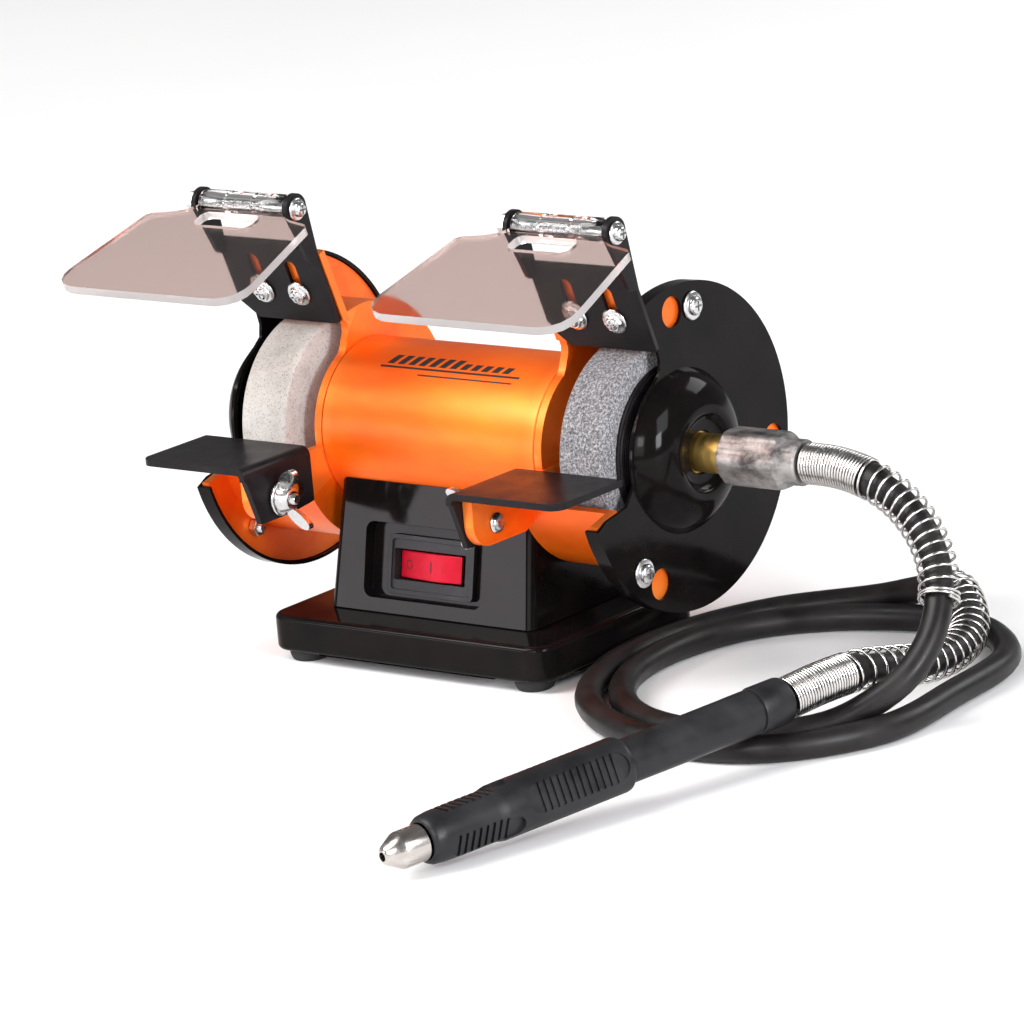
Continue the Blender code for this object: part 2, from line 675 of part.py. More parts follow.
def slot_outline(across, low, high, radius):
    lower = arc((across, low + radius), radius, 180.0, 360.0, 6)
    upper = arc((across, high - radius), radius, 0.0, 180.0, 6)
    return lower + upper


def build_deflector_screws(name, side):
    for place, across in zip(("inner", "outer"), DEFLECTOR_SCREWS):
        front = GAP + DEFLECTOR_THICK + GAP
        bm = leaning_rod(side * across, DEFLECTOR_SCREW_HEIGHT, -4.6, front + 0.2, 1.8, 8)
        screw = object_from(bm, "deflector_screw_" + place + "_" + name, zinc_plate())
        unite(screw, leaning_rod(side * across, DEFLECTOR_SCREW_HEIGHT, front, front + 0.8, 4.6, 10))
        unite(screw, leaning_rod(side * across, DEFLECTOR_SCREW_HEIGHT, front + 0.6, front + 2.8,
                                 3.3, 10))
        smooth(screw)


def visor_space(across, forward, up):
    """The visor's own axes, from its pivot: across, forward along the plate, and up out of it."""
    droop = math.radians(VISOR_DROOP)
    y = PIVOT[0] - forward * math.cos(droop) - up * math.sin(droop)
    z = PIVOT[1] - forward * math.sin(droop) + up * math.cos(droop)
    return Vector((across, y, z))


def build_visor(name, side):
    middle = side * VISOR_MIDDLE
    pivot = (middle, *PIVOT)
    half = [(19.0, 4.0), (24.0, 9.0), (35.5, 12.0), (41.5, 52.0), (40.2, 57.0), (37.0, 60.3),
            (32.0, 62.0)]
    outline = [(middle + u, v) for u, v in half] + [(middle - u, v) for u, v in reversed(half)]
    half_thick = VISOR_THICK / 2.0
    plate = object_from(extrude(outline, -half_thick, half_thick, visor_space), "visor_" + name,
                        material("clear_plastic", (0.9, 0.9, 0.9), 0.08, 0.0), pivot)
    barrel_half = 19.2
    unite(plate, rod(middle - barrel_half, middle + barrel_half, 4.85, 24, PIVOT), pivot)
    window = rounded_rectangle(13.0, 4.4, 3.0, 3, (middle, 12.4))
    cut(plate, extrude(window, -5.0, 5.0, visor_space), pivot)
    cut(plate, rod(middle - 30.0, middle + 30.0, 2.4, 14, PIVOT), pivot)
    smooth(plate)
    left_end = middle - 23.9
    bolt = [(left_end - 1.0, 0.0), (left_end - 1.0, 2.0), (middle + 22.0, 2.0),
            (middle + 22.0, 5.0), (middle + 22.8, 5.0), (middle + 22.8, 3.6),
            (middle + 25.2, 3.2), (middle + 25.2, 0.0)]
    smooth(object_from(turned(bolt, 12, PIVOT), "visor_bolt_" + name, zinc_plate(), pivot))
    nut = nut_ring(middle - 22.2, middle - 25.4, 2.0 + GAP, 3.8, PIVOT)
    object_from(nut, "visor_nut_" + name, zinc_plate(), pivot)


# ---------------------------------------------------------------- tool rests

def build_tool_rest(name, side):
    origin = (side * EAR[0], *REST_BOLT)
    start, end = (side * distance for distance in REST_SPAN)
    inward = -side
    plate = rest_plate_outline(start, end, side)
    rest = object_from(prism_z(plate, REST_TOP - REST_THICK, REST_TOP), "tool_rest_" + name,
                       satin_black(), origin)
    leg = [(-73.0, REST_TOP - 0.4), (-67.6, -21.0), (-48.6, -21.0), (-40.0, -19.6),
           (-40.0, REST_TOP - 0.4)]
    unite(rest, prism_x(leg, start, start - inward * REST_THICK), origin)
    slot_radius = BOLT_RADIUS + 0.6
    slot = (arc((-47.0, REST_BOLT[1]), slot_radius, -90.0, 90.0, 6)
            + arc((-60.0, REST_BOLT[1]), slot_radius, 90.0, 270.0, 6))
    cut(rest, prism_x(slot, start - 5.0 * side, start + 5.0 * side), origin)
    smooth(rest)


def rest_plate_outline(start, end, side):
    radius = 5.0
    front, back = REST_FRONT, REST_BACK
    corner = (end - side * radius, front + radius)
    outline = [(start, back), (start, front + 2.0), (start + side * 1.0, front)]
    turn = (270.0, 360.0) if side > 0 else (270.0, 180.0)
    outline += arc(corner, radius, turn[0], turn[1], 5)
    outline += [(end, back - 3.0), (end - side * 3.0, back)]
    return outline


def build_rest_fastener(name, side):
    head = EAR[1] + GAP
    bolt = [(36.5, 0.0), (36.5, BOLT_RADIUS), (head, BOLT_RADIUS), (head, 3.6),
            (head + 1.2, 3.1), (head + 2.0, 1.6), (head + 2.0, 0.0)]
    smooth(object_from(turned(mirrored(bolt, side), 12, REST_BOLT), "carriage_bolt_" + name,
                       zinc_plate()))
    bore = BOLT_RADIUS + GAP
    hub = [(38.2, bore), (38.2, 3.8), (42.0, 4.8), (42.4, 6.2), (43.9, 6.2), (43.9, bore)]
    origin = (side * 41.0, *REST_BOLT)
    nut = object_from(turned(mirrored(hub, side), 12, REST_BOLT), "wing_nut_" + name,
                      zinc_plate(), origin)
    for direction in (1, -1):
        wing = [(3.0, 42.0), (4.2, 38.6), (8.0, 34.6), (10.8, 33.6), (11.8, 35.4), (9.8, 39.6),
                (5.6, 42.2)]
        bm = extrude(wing, -0.9, 0.9, lambda out, x, across: Vector(
            (side * x, REST_BOLT[0] + across - direction * out * math.sin(WING_TURN),
             REST_BOLT[1] + direction * out * math.cos(WING_TURN))))
        unite(nut, bm, origin)
    smooth(nut)


# ---------------------------------------------------------------- flexible shaft and handpiece

def build_drive_end():
    brass = material("brass", (0.72, 0.5, 0.2), 0.28, 1.0)
    bore = SPINDLE_RADIUS + 0.6
    low, high = ADAPTER_COLLAR
    adapter = [(low, bore), (low, 9.0), (high, 9.0), (high, 6.7), (ADAPTER_END, 6.7),
               (ADAPTER_END, bore)]
    smooth(object_from(turned(adapter, 16), "drive_adapter", brass))
    aluminium = material("aluminium", (0.75, 0.75, 0.76), 0.3, 1.0)
    start, end = COUPLING
    coupling = object_from(nut_ring(start, 131.0, 3.6, 9.2), "coupling_nut", aluminium)
    shoulder = [(130.0, 3.6), (130.0, 9.2), (133.0, 8.2), (end, 8.0), (end, 3.6)]
    unite(coupling, turned(shoulder, 16))
    smooth(coupling, 28.0)


def smooth_path(route, spacing):
    """Points about spacing apart on the smooth curve through the route's points."""
    points = [Vector(place) for place in route]
    spans = [(second - first).length for first, second in zip(points, points[1:])]
    slopes = [(points[index + 1] - points[index]) / span for index, span in enumerate(spans)]
    tangents = [slopes[0]]
    for index in range(1, len(spans)):
        before, after = spans[index - 1], spans[index]
        tangents.append((slopes[index - 1] * after + slopes[index] * before) / (before + after))
    tangents.append(slopes[-1])
    samples = []
    for index, span in enumerate(spans):
        steps = max(1, round(span / spacing))
        for step in range(steps):
            t = step / steps
            samples.append(points[index] * (1.0 + 2.0 * t) * (1.0 - t) ** 2
                           + points[index + 1] * t * t * (3.0 - 2.0 * t)
                           + tangents[index] * span * t * (1.0 - t) ** 2
                           - tangents[index + 1] * span * t * t * (1.0 - t))
    samples.append(points[-1])
    return samples


def along(points, start, end, spacing):
    """The part of a fine path between two lengths, resampled, with short end segments."""
    lengths = [0.0]
    for first, second in zip(points, points[1:]):
        lengths.append(lengths[-1] + (second - first).length)
    end = min(end, lengths[-1])
    count = max(2, round((end - start) / spacing))
    wanted = [start, start + 1.5]
    wanted += [start + (end - start) * step / count for step in range(1, count)]
    wanted += [end - 1.5, end]
    return [point_at(points, lengths, distance) for distance in wanted]


def point_at(points, lengths, distance):
    for index in range(len(points) - 1):
        if lengths[index + 1] >= distance:
            share = (distance - lengths[index]) / (lengths[index + 1] - lengths[index])
            return points[index].lerp(points[index + 1], share)
    return points[-1]


def tube(name, points, radius, resolution, finish):
    curve = bpy.data.curves.new(name, "CURVE")
    curve.dimensions = "3D"
    spline = curve.splines.new("POLY")
    spline.points.add(len(points) - 1)
    for vertex, place in zip(spline.points, points):
        vertex.co = (*(place * MM), 1.0)
    curve.bevel_depth = radius * MM
    curve.bevel_resolution = resolution
    curve.use_fill_caps = True
    curve.materials.append(finish)
    made = bpy.data.objects.new(name, curve)
    bpy.context.scene.collection.objects.link(made)
    return made


def build_flexible_shaft():
    route = [(x, y, height + FLOOR) for x, y, height in HOSE_ROUTE]
    fine = smooth_path(route, 1.0)
    total = route_length(route)
    to_machine_guard_end = route_length(route[:MACHINE_GUARD_POINTS + 1])
    to_handpiece_guard = total - route_length(route[-HANDPIECE_GUARD_POINTS - 1:])
    spring = material("spring_steel", (0.7, 0.7, 0.7), 0.25, 1.0)
    tube("spring_guard_machine", along(fine, 0.0, to_machine_guard_end, 14.0),
         GUARD_TUBE_RADIUS, 3, spring)
    tube("hose", along(fine, to_machine_guard_end + HOSE_FACE_GAP,
                       to_handpiece_guard - HOSE_FACE_GAP, 16.0),
         HOSE_RADIUS, 2, black_rubber())
    tube("spring_guard_handpiece", along(fine, to_handpiece_guard, total, 12.0),
         GUARD_TUBE_RADIUS, 3, spring)


def route_length(route):
    fine = smooth_path(route, 1.0)
    return sum((second - first).length for first, second in zip(fine, fine[1:]))


def build_handpiece():
    """Turned pieces along the handpiece's axis, from its tail (0) to its tip."""
    tail, tip = Vector(HANDPIECE_TAIL), Vector(HANDPIECE_TIP)
    direction = (tip - tail).normalized()
    plastic = black_plastic()
    body = [(0.0, 4.0), (0.0, 7.4), (1.0, 7.8), (12.0, 7.8), (13.4, 7.4), (67.0, 7.3),
            (67.0, 5.9), (118.0, 5.9), (118.0, 4.0)]
    grip = [(67.3, 6.2), (67.3, 8.7), (69.0, 9.2), (117.5, 9.2), (120.5, 8.5), (134.0, 8.5),
            (143.0, 8.1), (145.8, 7.0), (145.8, 6.2)]
    nose = [(118.6, 0.0), (118.6, 3.6), (146.2, 3.6), (146.2, 6.0), (155.0, 6.0), (160.0, 3.6),
            (161.0, 2.4), (161.0, 1.2), (150.0, 1.2), (150.0, 0.0)]
    turn = direction.to_track_quat("X", "Z").to_matrix().to_4x4()
    for name, profile, finish in (("handpiece_body", body, plastic),
                                  ("handpiece_grip", grip, plastic),
                                  ("collet_nose", nose, machined_steel())):
        piece = object_from(turned(profile, 16), name, finish)
        piece.matrix_world = Matrix.Translation(tail * MM) @ turn
        smooth(piece)


def main():
    clear_scene()
    build_base()
    build_feet()
    build_pedestal()
    build_switch()
    build_cord_gland()
    build_motor()
    build_spindle()
    build_wheels()
    for name, side in SIDES:
        build_end_bell(name, side)
        build_cover(name, side)
        build_cover_screws(name, side)
        build_deflector(name, side)
        build_deflector_screws(name, side)
        build_visor(name, side)
        build_tool_rest(name, side)
        build_rest_fastener(name, side)
    build_drive_end()
    build_flexible_shaft()
    build_handpiece()


main()
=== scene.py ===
"""Looks of the bench grinder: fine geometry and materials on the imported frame.

Lengths are in millimetres and become metres when a mesh is made. The grinder is drawn in spindle
coordinates: X along the spindle towards the flexible shaft, -Y towards the user, +Z up, zero in
the middle of the motor.
"""
import json
import math

import bmesh
import bpy
from mathutils import Matrix, Vector


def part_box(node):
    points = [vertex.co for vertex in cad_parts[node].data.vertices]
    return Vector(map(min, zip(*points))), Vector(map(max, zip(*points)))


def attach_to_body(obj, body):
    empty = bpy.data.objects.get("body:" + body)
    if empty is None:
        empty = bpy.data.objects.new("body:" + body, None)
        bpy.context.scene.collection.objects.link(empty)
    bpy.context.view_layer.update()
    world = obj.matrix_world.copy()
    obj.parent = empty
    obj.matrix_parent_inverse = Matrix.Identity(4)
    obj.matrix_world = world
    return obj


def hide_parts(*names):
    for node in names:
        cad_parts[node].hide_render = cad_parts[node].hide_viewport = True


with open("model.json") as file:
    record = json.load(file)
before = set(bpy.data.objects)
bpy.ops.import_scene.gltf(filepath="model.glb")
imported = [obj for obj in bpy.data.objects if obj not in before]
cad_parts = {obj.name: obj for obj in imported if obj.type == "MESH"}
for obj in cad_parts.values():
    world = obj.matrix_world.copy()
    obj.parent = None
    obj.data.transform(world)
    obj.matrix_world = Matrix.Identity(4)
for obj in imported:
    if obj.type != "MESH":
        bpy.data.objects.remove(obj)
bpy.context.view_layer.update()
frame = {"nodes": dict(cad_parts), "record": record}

BODY_OF = {name: body for body, names in frame["record"]["behaviour"]["bodies"].items()
           for name in names}
MM = 0.001
SIDES = (("left", -1), ("right", 1))
AXIS = (0.0, 0.0)                                 # the spindle's, in depth and height

# ---------------------------------------------------------------- dimensions, as in the CAD

motor_low, motor_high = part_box("motor_shell")
SPINDLE = (motor_low + motor_high) / 2.0          # metres
MOTOR_RADIUS = 29.6
MOTOR_HALF_LENGTH = 46.8
WALL_INNER, WALL_OUTER = 47.1, 50.1
DRUM_RADIUS, DRUM_WALL, DRUM_END = 42.0, 2.5, 84.5
DRUM_OPENS, DRUM_CLOSES = 107.0, 197.0            # degrees from +Y towards +Z
GUARD_CENTRE = (3.5, 0.5)
FLANGE_OUTER_RADIUS, FLANGE_START, FLANGE_END = 55.0, 84.2, 87.2
COVER_RADIUS, COVER_FACE, COVER_SHEET, COVER_RIM = 56.5, 88.7, 1.2, 5.7
DOME_RADIUS = 28.5
HUB_RISE = 7.2
COVER_ARC = (197.0, 470.5)                        # degrees, the round part of its edge
COVER_SCREW_RADIUS = 48.0
COVER_SCREW_ANGLES = (82.0, -24.0, 229.0)
SCREW_BORE, COVER_HOLE, COVER_HOLE_OFFSET = 2.1, 5.4, 13.5
WHEEL_RADIUS = 37.5
SPINDLE_BORE = 4.3                                # radius through wheels, flanges and nuts
WHEELS = {  # name, start, end, finish, slot, edge, outer flange's radius and its ridged band
    "left": ("grinding_wheel_left", 57.0, 77.0, "white_wheel", "white_alumina", 0.8, 12.0, 2.0),
    "right": ("polishing_wheel_right", 64.0, 82.0, "grey_wheel", "grey_fleece", 0.4, 30.0, 6.5),
}
LEAN = math.radians(20.7)                         # of the deflector's plate
DEFLECTOR_FOOT = (-12.0, 38.0)
DEFLECTOR_SPAN, DEFLECTOR_HEIGHT = (47.5, 91.0), 31.0
DEFLECTOR_SCREWS, DEFLECTOR_SCREW_HEIGHT = (61.0, 77.5), 11.8
PIVOT, TAB_RADIUS, TAB_THICK = (-31.0, 82.0), 5.5, 1.8
VISOR_MIDDLE = 69.3
VISOR_DROOP = math.radians(18.0)
EAR = (47.0, 51.0)
REST_SPAN, REST_FRONT, REST_BACK, REST_THICK = (44.3, 92.0), -75.0, -39.5, 2.4
REST_LEG_END = -21.0
REST_BOLT, REST_SLOT, REST_SLOT_RADIUS = (-57.5, -14.0), (-60.0, -47.0), 2.6
BASE_HALF, BASE_HEIGHT, BASE_MIDDLE_Y = (61.0, 44.5), 13.0, -7.5
BASE_UNDERSIDE = -72.0
FEET, PLATE_SCREWS = (50.0, 35.5), (50.0, 18.0)   # from the base's middle, across and in depth
FACE_LEAN = math.atan2(10.0, 46.0)                # of the pedestal's front
FACE_FOOT = (-36.0, -58.7)
GLAND_HEIGHT = -46.0
HOSE_RADIUS, SPRING_RADIUS, WIRE_RADIUS, SLEEVE_RADIUS = 4.75, 6.6, 0.5, 5.9
FLOOR = -4.0                                      # of the finished part, in millimetres
HANDPIECE_TAIL = Vector((178.0, -68.2, 15.5))     # of the finished part too
HANDPIECE_TIP = Vector((137.3, -223.8, 4.7))
SWITCH_CENTRE, RECESS_CENTRE, RECESS_DEPTH = (-3.0, 17.2), (-4.0, 18.2), 5.0
ROCKER_EDGE, ROCKER_CREST, ROCKER_HALF_HEIGHT = (-14.9, 2.2), (4.2, 3.8), 4.8
ROCKER_TILT = math.radians(9.0)
STRIPE_SPAN, STRIPE_ANGLE, STRIPE_BARS = (-28.2, 33.0), 121.0, 12
COVER_BOLT = (9.4, (3.4, 1.9), (4.9, 0.7))        # length, then radius and height of the head
PLATE_BOLT = (6.6, (2.7, 2.0), (4.6, 0.8))        # and of the washer
HINGE_BOLT = (46.9, (2.7, 2.2), (3.9, 0.7))
WING_SWEEP = math.radians(16.0)
GRIP_WINDOWS = (18.0, 138.0, 258.0)               # degrees round the handpiece's axis
WORLD_LIGHT = 0.22
SUN_LIGHT = 1.9
STUDIO_LIGHTS = [                                 # place and size in metres, watts, colour
    ("key", (-1.2, -1.5, 1.5), (0.9, 0.7), 34.0, (1.0, 0.98, 0.96)),
    ("front", (0.4, -2.2, 0.7), (1.8, 1.0), 20.0, (1.0, 0.97, 0.94)),
    ("window", (0.61, -1.33, 0.62), (0.3, 0.3), 5.0, (0.95, 0.95, 1.0)),
    ("side", (2.0, -0.35, 1.15), (0.9, 0.9), 20.0, (0.98, 0.98, 1.0)),
    ("low", (1.85, -0.6, 0.5), (0.4, 0.45), 22.0, (0.96, 0.95, 1.0)),
    ("rim", (0.9, 1.7, 1.1), (1.0, 0.7), 14.0, (1.0, 1.0, 1.0)),
    ("sheen", (-0.86, -1.14, 0.154), (0.30, 0.22), 2.2, (1.0, 0.94, 1.0)),
]
HOSE_ROUTE = [                                    # across, depth and height over the floor
    (139.3, 7.5, 76.0), (152.0, 7.4, 75.6), (165.0, 6.8, 72.8), (177.5, 5.0, 67.4),
    (188.5, 1.5, 59.4), (197.0, -4.0, 49.5), (201.8, -11.5, 38.8), (203.4, -20.7, 28.6),
    (200.4, -30.1, 19.4), (192.8, -39.6, 12.0), (183.6, -48.2, 6.8), (172.1, -57.9, 4.8),
    (157.5, -66.5, 4.8), (140.0, -69.3, 4.8), (121.0, -65.2, 4.8), (90.5, -39.5, 4.8),
    (77.0, 1.5, 4.8),
    (86.0, 40.5, 4.8), (116.3, 65.2, 4.8), (157.5, 70.4, 4.8), (188.8, 45.3, 4.8),
    (197.5, -1.2, 4.8), (197.9, -45.5, 4.8), (173.3, -76.1, 4.8), (131.5, -80.5, 4.8),
    (90.0, -57.0, 4.8), (68.4, -13.0, 4.8), (71.2, 35.5, 4.8), (82.0, 57.5, 5.2),
    (119.0, 76.0, 9.6), (136.5, 76.0, 14.2), (153.5, 68.0, 17.6), (167.0, 55.0, 15.6),
    (177.5, 39.0, 12.2), (183.5, 20.0, 11.8), (186.0, 0.5, 13.8), (186.2, -18.0, 17.8),
    (184.8, -36.0, 21.2), (182.0, -52.0, 21.3), (178.2, -67.5, 19.55),
]


def show(piece):
    bpy.context.scene.collection.objects.link(piece)


# ---------------------------------------------------------------- camera

def make_camera():
    """At the photograph's angle: round to the right, a little above, and rolled."""
    azimuth, elevation, roll = (math.radians(a) for a in (39.27, 14.38, -4.99))
    distance, aim_right, aim_up = 2.0, 0.0087, -0.0296
    forward = Vector((-math.sin(azimuth) * math.cos(elevation),
                      math.cos(azimuth) * math.cos(elevation), -math.sin(elevation)))
    right = Vector((math.cos(azimuth), math.sin(azimuth), 0.0))
    up = right.cross(forward)
    aim = SPINDLE + right * aim_right + up * aim_up
    rolled_right = right * math.cos(roll) + up * math.sin(roll)
    rolled_up = up * math.cos(roll) - right * math.sin(roll)
    turn = Matrix((rolled_right, rolled_up, -forward)).transposed().to_4x4()
    data = bpy.data.cameras.new("camera")
    data.sensor_width = 36.0
    data.lens = 202.4
    data.clip_end = 50.0
    camera = bpy.data.objects.new("camera", data)
    camera.matrix_world = Matrix.Translation(aim - forward * distance) @ turn
    show(camera)
    bpy.context.scene.camera = camera


# ---------------------------------------------------------------- materials

def new_material(name, colour, roughness, metallic=0.0, **sockets):
    """A Principled material; sockets are extra values set on the shader itself."""
    made = bpy.data.materials.new(name)
    made.use_nodes = True
    shader = made.node_tree.nodes["Principled BSDF"]
    shader.inputs["Base Color"].default_value = (*colour, 1.0)
    shader.inputs["Roughness"].default_value = roughness
    shader.inputs["Metallic"].default_value = metallic
    for socket, value in sockets.items():
        shader.inputs[socket.replace("_", " ")].default_value = value
    return made


def node(made, kind, **inputs):
    added = made.node_tree.nodes.new(kind)
    for name, value in inputs.items():
        added.inputs[name].default_value = value
    return added


def link(made, output, target):
    made.node_tree.links.new(output, target)


def shader_of(made):
    return made.node_tree.nodes["Principled BSDF"]


def object_noise(made, scale, detail=4.0, stretch=(1.0, 1.0, 1.0), roughness=0.6):
    """Noise on the piece's own coordinates, scale in features per metre."""
    place = node(made, "ShaderNodeTexCoord")
    mapping = node(made, "ShaderNodeMapping", Scale=stretch)
    link(made, place.outputs["Object"], mapping.inputs["Vector"])
    texture = node(made, "ShaderNodeTexNoise", Scale=scale, Detail=detail, Roughness=roughness)
    link(made, mapping.outputs["Vector"], texture.inputs["Vector"])
    return texture.outputs["Fac"]


def ramp(made, source, stops):
    """A colour ramp from (position, colour) stops."""
    added = node(made, "ShaderNodeValToRGB")
    link(made, source, added.inputs["Fac"])
    elements = added.color_ramp.elements
    while len(elements) < len(stops):
        elements.new(0.5)
    for element, (position, colour) in zip(elements, stops):
        element.position = position
        element.color = (*colour, 1.0)
    return added.outputs["Color"]


def vary_roughness(made, source, low, high):
    spread = node(made, "ShaderNodeMapRange")
    spread.inputs["From Min"].default_value = 0.3
    spread.inputs["From Max"].default_value = 0.7
    spread.inputs["To Min"].default_value = low
    spread.inputs["To Max"].default_value = high
    link(made, source, spread.inputs["Value"])
    link(made, spread.outputs["Result"], shader_of(made).inputs["Roughness"])


def add_bump(made, source, distance, strength):
    """Surface relief, distance in millimetres."""
    bump = node(made, "ShaderNodeBump", Strength=strength, Distance=distance * MM)
    link(made, source, bump.inputs["Height"])
    link(made, bump.outputs["Normal"], shader_of(made).inputs["Normal"])


def colour_by(made, source, stops):
    link(made, ramp(made, source, stops), shader_of(made).inputs["Base Color"])


def highlighted_edges(made, base, highlight_colour, amount):
    """Paint a little brighter along edges, from the surface's own pointiness: a painted highlight.
    """
    geometry = node(made, "ShaderNodeNewGeometry")
    mask = ramp(made, geometry.outputs["Pointiness"], [(0.52, (0, 0, 0)), (0.60, (1, 1, 1))])
    mixer = node(made, "ShaderNodeMix")
    mixer.data_type = "RGBA"
    scaled = node(made, "ShaderNodeMath")
    scaled.operation = "MULTIPLY"
    scaled.inputs[1].default_value = amount
    link(made, mask, scaled.inputs[0])
    link(made, scaled.outputs["Value"], mixer.inputs["Factor"])
    link(made, base, mixer.inputs["A"])
    mixer.inputs["B"].default_value = (*highlight_colour, 1.0)
    link(made, mixer.outputs["Result"], shader_of(made).inputs["Base Color"])


def orange_paint():
    made = new_material("orange_metallic_paint", (0.95, 0.13, 0.001), 0.42, 0.55,
                        Coat_Weight=0.15, Coat_Roughness=0.3)
    cloud = object_noise(made, 45.0, 3.0, (0.35, 1.0, 1.0))
    tint = ramp(made, cloud, [(0.35, (0.86, 0.11, 0.0006)), (0.68, (1.0, 0.18, 0.002))])
    # painted highlight: lighter, yellower orange along the convex edges
    highlighted_edges(made, tint, (1.0, 0.36, 0.06), 0.45)
    flakes = object_noise(made, 2600.0, 2.0)
    vary_roughness(made, flakes, 0.36, 0.50)
    add_bump(made, flakes, 0.012, 0.35)
    return made


def clouded(name, colour, roughness, cloud, stops, spread=None, grain=None, **sockets):
    """A material whose colour drifts with a soft noise.

    cloud is that noise's (scale, detail), stops its colours, spread the range of roughness that
    goes with it, and grain the relief's (noise scale, noise detail, distance, strength).
    """
    made = new_material(name, colour, roughness, **sockets)
    drift = object_noise(made, *cloud)
    colour_by(made, drift, stops)
    if spread:
        vary_roughness(made, drift, *spread)
    if grain:
        scale, detail, distance, strength = grain
        add_bump(made, object_noise(made, scale, detail), distance, strength)
    return made


def bright_metal(name, colour, low, high, stretch=(1.0, 1.0, 1.0)):
    """Plated or turned metal whose grain runs across the stretched direction."""
    made = new_material(name, colour, (low + high) / 2.0, 1.0)
    grain = object_noise(made, 500.0, 5.0, stretch)
    darker = tuple(channel * 0.72 for channel in colour)
    colour_by(made, grain, [(0.25, darker), (0.7, colour)])
    vary_roughness(made, grain, low, high)
    add_bump(made, grain, 0.015, 0.4)
    return made


def stained_aluminium():
    made = new_material("stained_aluminium", (0.4, 0.39, 0.38), 0.5, 0.8)
    blotch = object_noise(made, 110.0, 6.0, (0.7, 1.0, 1.0), 0.7)
    colour_by(made, blotch, [(0.36, (0.06, 0.055, 0.055)), (0.47, (0.20, 0.19, 0.185)),
                             (0.62, (0.40, 0.385, 0.375))])
    lines = object_noise(made, 900.0, 3.0, (0.05, 1.0, 1.0))
    vary_roughness(made, lines, 0.38, 0.6)
    add_bump(made, lines, 0.03, 0.5)
    return made


def rubber(name, colour, roughness, grain=900.0, depth=0.04):
    lighter = tuple(channel * 2.4 + 0.004 for channel in colour)
    return clouded(name, colour, roughness, (70.0, 5.0), [(0.35, colour), (0.8, lighter)],
                   (roughness - 0.1, roughness + 0.12), (grain, 3.0, depth, 0.4),
                   Specular_IOR_Level=0.25)


def bonded_grit():
    """White alumina: pale grains with a few dark specks and open pores."""
    made = new_material("white_alumina", (0.72, 0.70, 0.66), 0.88)
    cloud = object_noise(made, 55.0, 6.0, (1.0, 1.0, 1.0), 0.7)
    tint = ramp(made, cloud, [(0.25, (0.38, 0.36, 0.33)), (0.5, (0.54, 0.52, 0.49)),
                              (0.75, (0.64, 0.62, 0.59))])
    grains = object_noise(made, 1500.0, 3.0, (1.0, 1.0, 1.0), 0.8)
    speck = ramp(made, grains, [(0.38, (0.40, 0.38, 0.38)), (0.45, (1.0, 1.0, 1.0))])
    mixer = node(made, "ShaderNodeMix")
    mixer.data_type = "RGBA"
    mixer.blend_type = "MULTIPLY"
    mixer.inputs["Factor"].default_value = 0.8
    link(made, tint, mixer.inputs["A"])
    link(made, speck, mixer.inputs["B"])
    link(made, mixer.outputs["Result"], shader_of(made).inputs["Base Color"])
    add_bump(made, grains, 0.25, 0.7)
    return made


def non_woven():
    """Grey fibre wheel: light and dark fibres mixed at the scale of half a millimetre."""
    made = new_material("grey_fleece", (0.25, 0.26, 0.28), 0.95, Sheen_Weight=0.2)
    fibre = object_noise(made, 1100.0, 5.0, (1.0, 1.0, 1.0), 0.85)
    colour_by(made, fibre, [(0.38, (0.03, 0.03, 0.035)), (0.50, (0.19, 0.19, 0.20)),
                            (0.62, (0.56, 0.55, 0.57))])
    add_bump(made, fibre, 0.5, 0.9)
    return made


def clear_plastic():
    made = new_material("clear_polycarbonate", (0.57, 0.43, 0.395), 0.03, 0.0,
                        Transmission_Weight=1.0, IOR=1.5)
    scuffs = object_noise(made, 260.0, 6.0, (1.0, 0.2, 1.0))
    vary_roughness(made, scuffs, 0.015, 0.06)
    return made


def frosted_edge():
    """The sawn and moulded edges of the clear plastic, which scatter the light."""
    made = new_material("clear_edge", (0.99, 0.93, 0.91), 0.16, 0.0, Transmission_Weight=0.7,
                        IOR=1.5)
    add_bump(made, object_noise(made, 300.0, 3.0), 0.1, 0.3)
    return made


def clear_barrel():
    """The thick untinted hinge of the visor, with moulding marks inside."""
    made = new_material("clear_hinge", (0.985, 0.98, 0.98), 0.05, 0.0, Transmission_Weight=1.0,
                        IOR=1.42)
    add_bump(made, object_noise(made, 180.0, 4.0, (1.0, 0.3, 1.0)), 0.12, 0.5)
    return made


def dark_ink(name, colour):
    made = new_material(name, colour, 0.45)
    add_bump(made, object_noise(made, 1500.0), 0.01, 0.2)
    return made


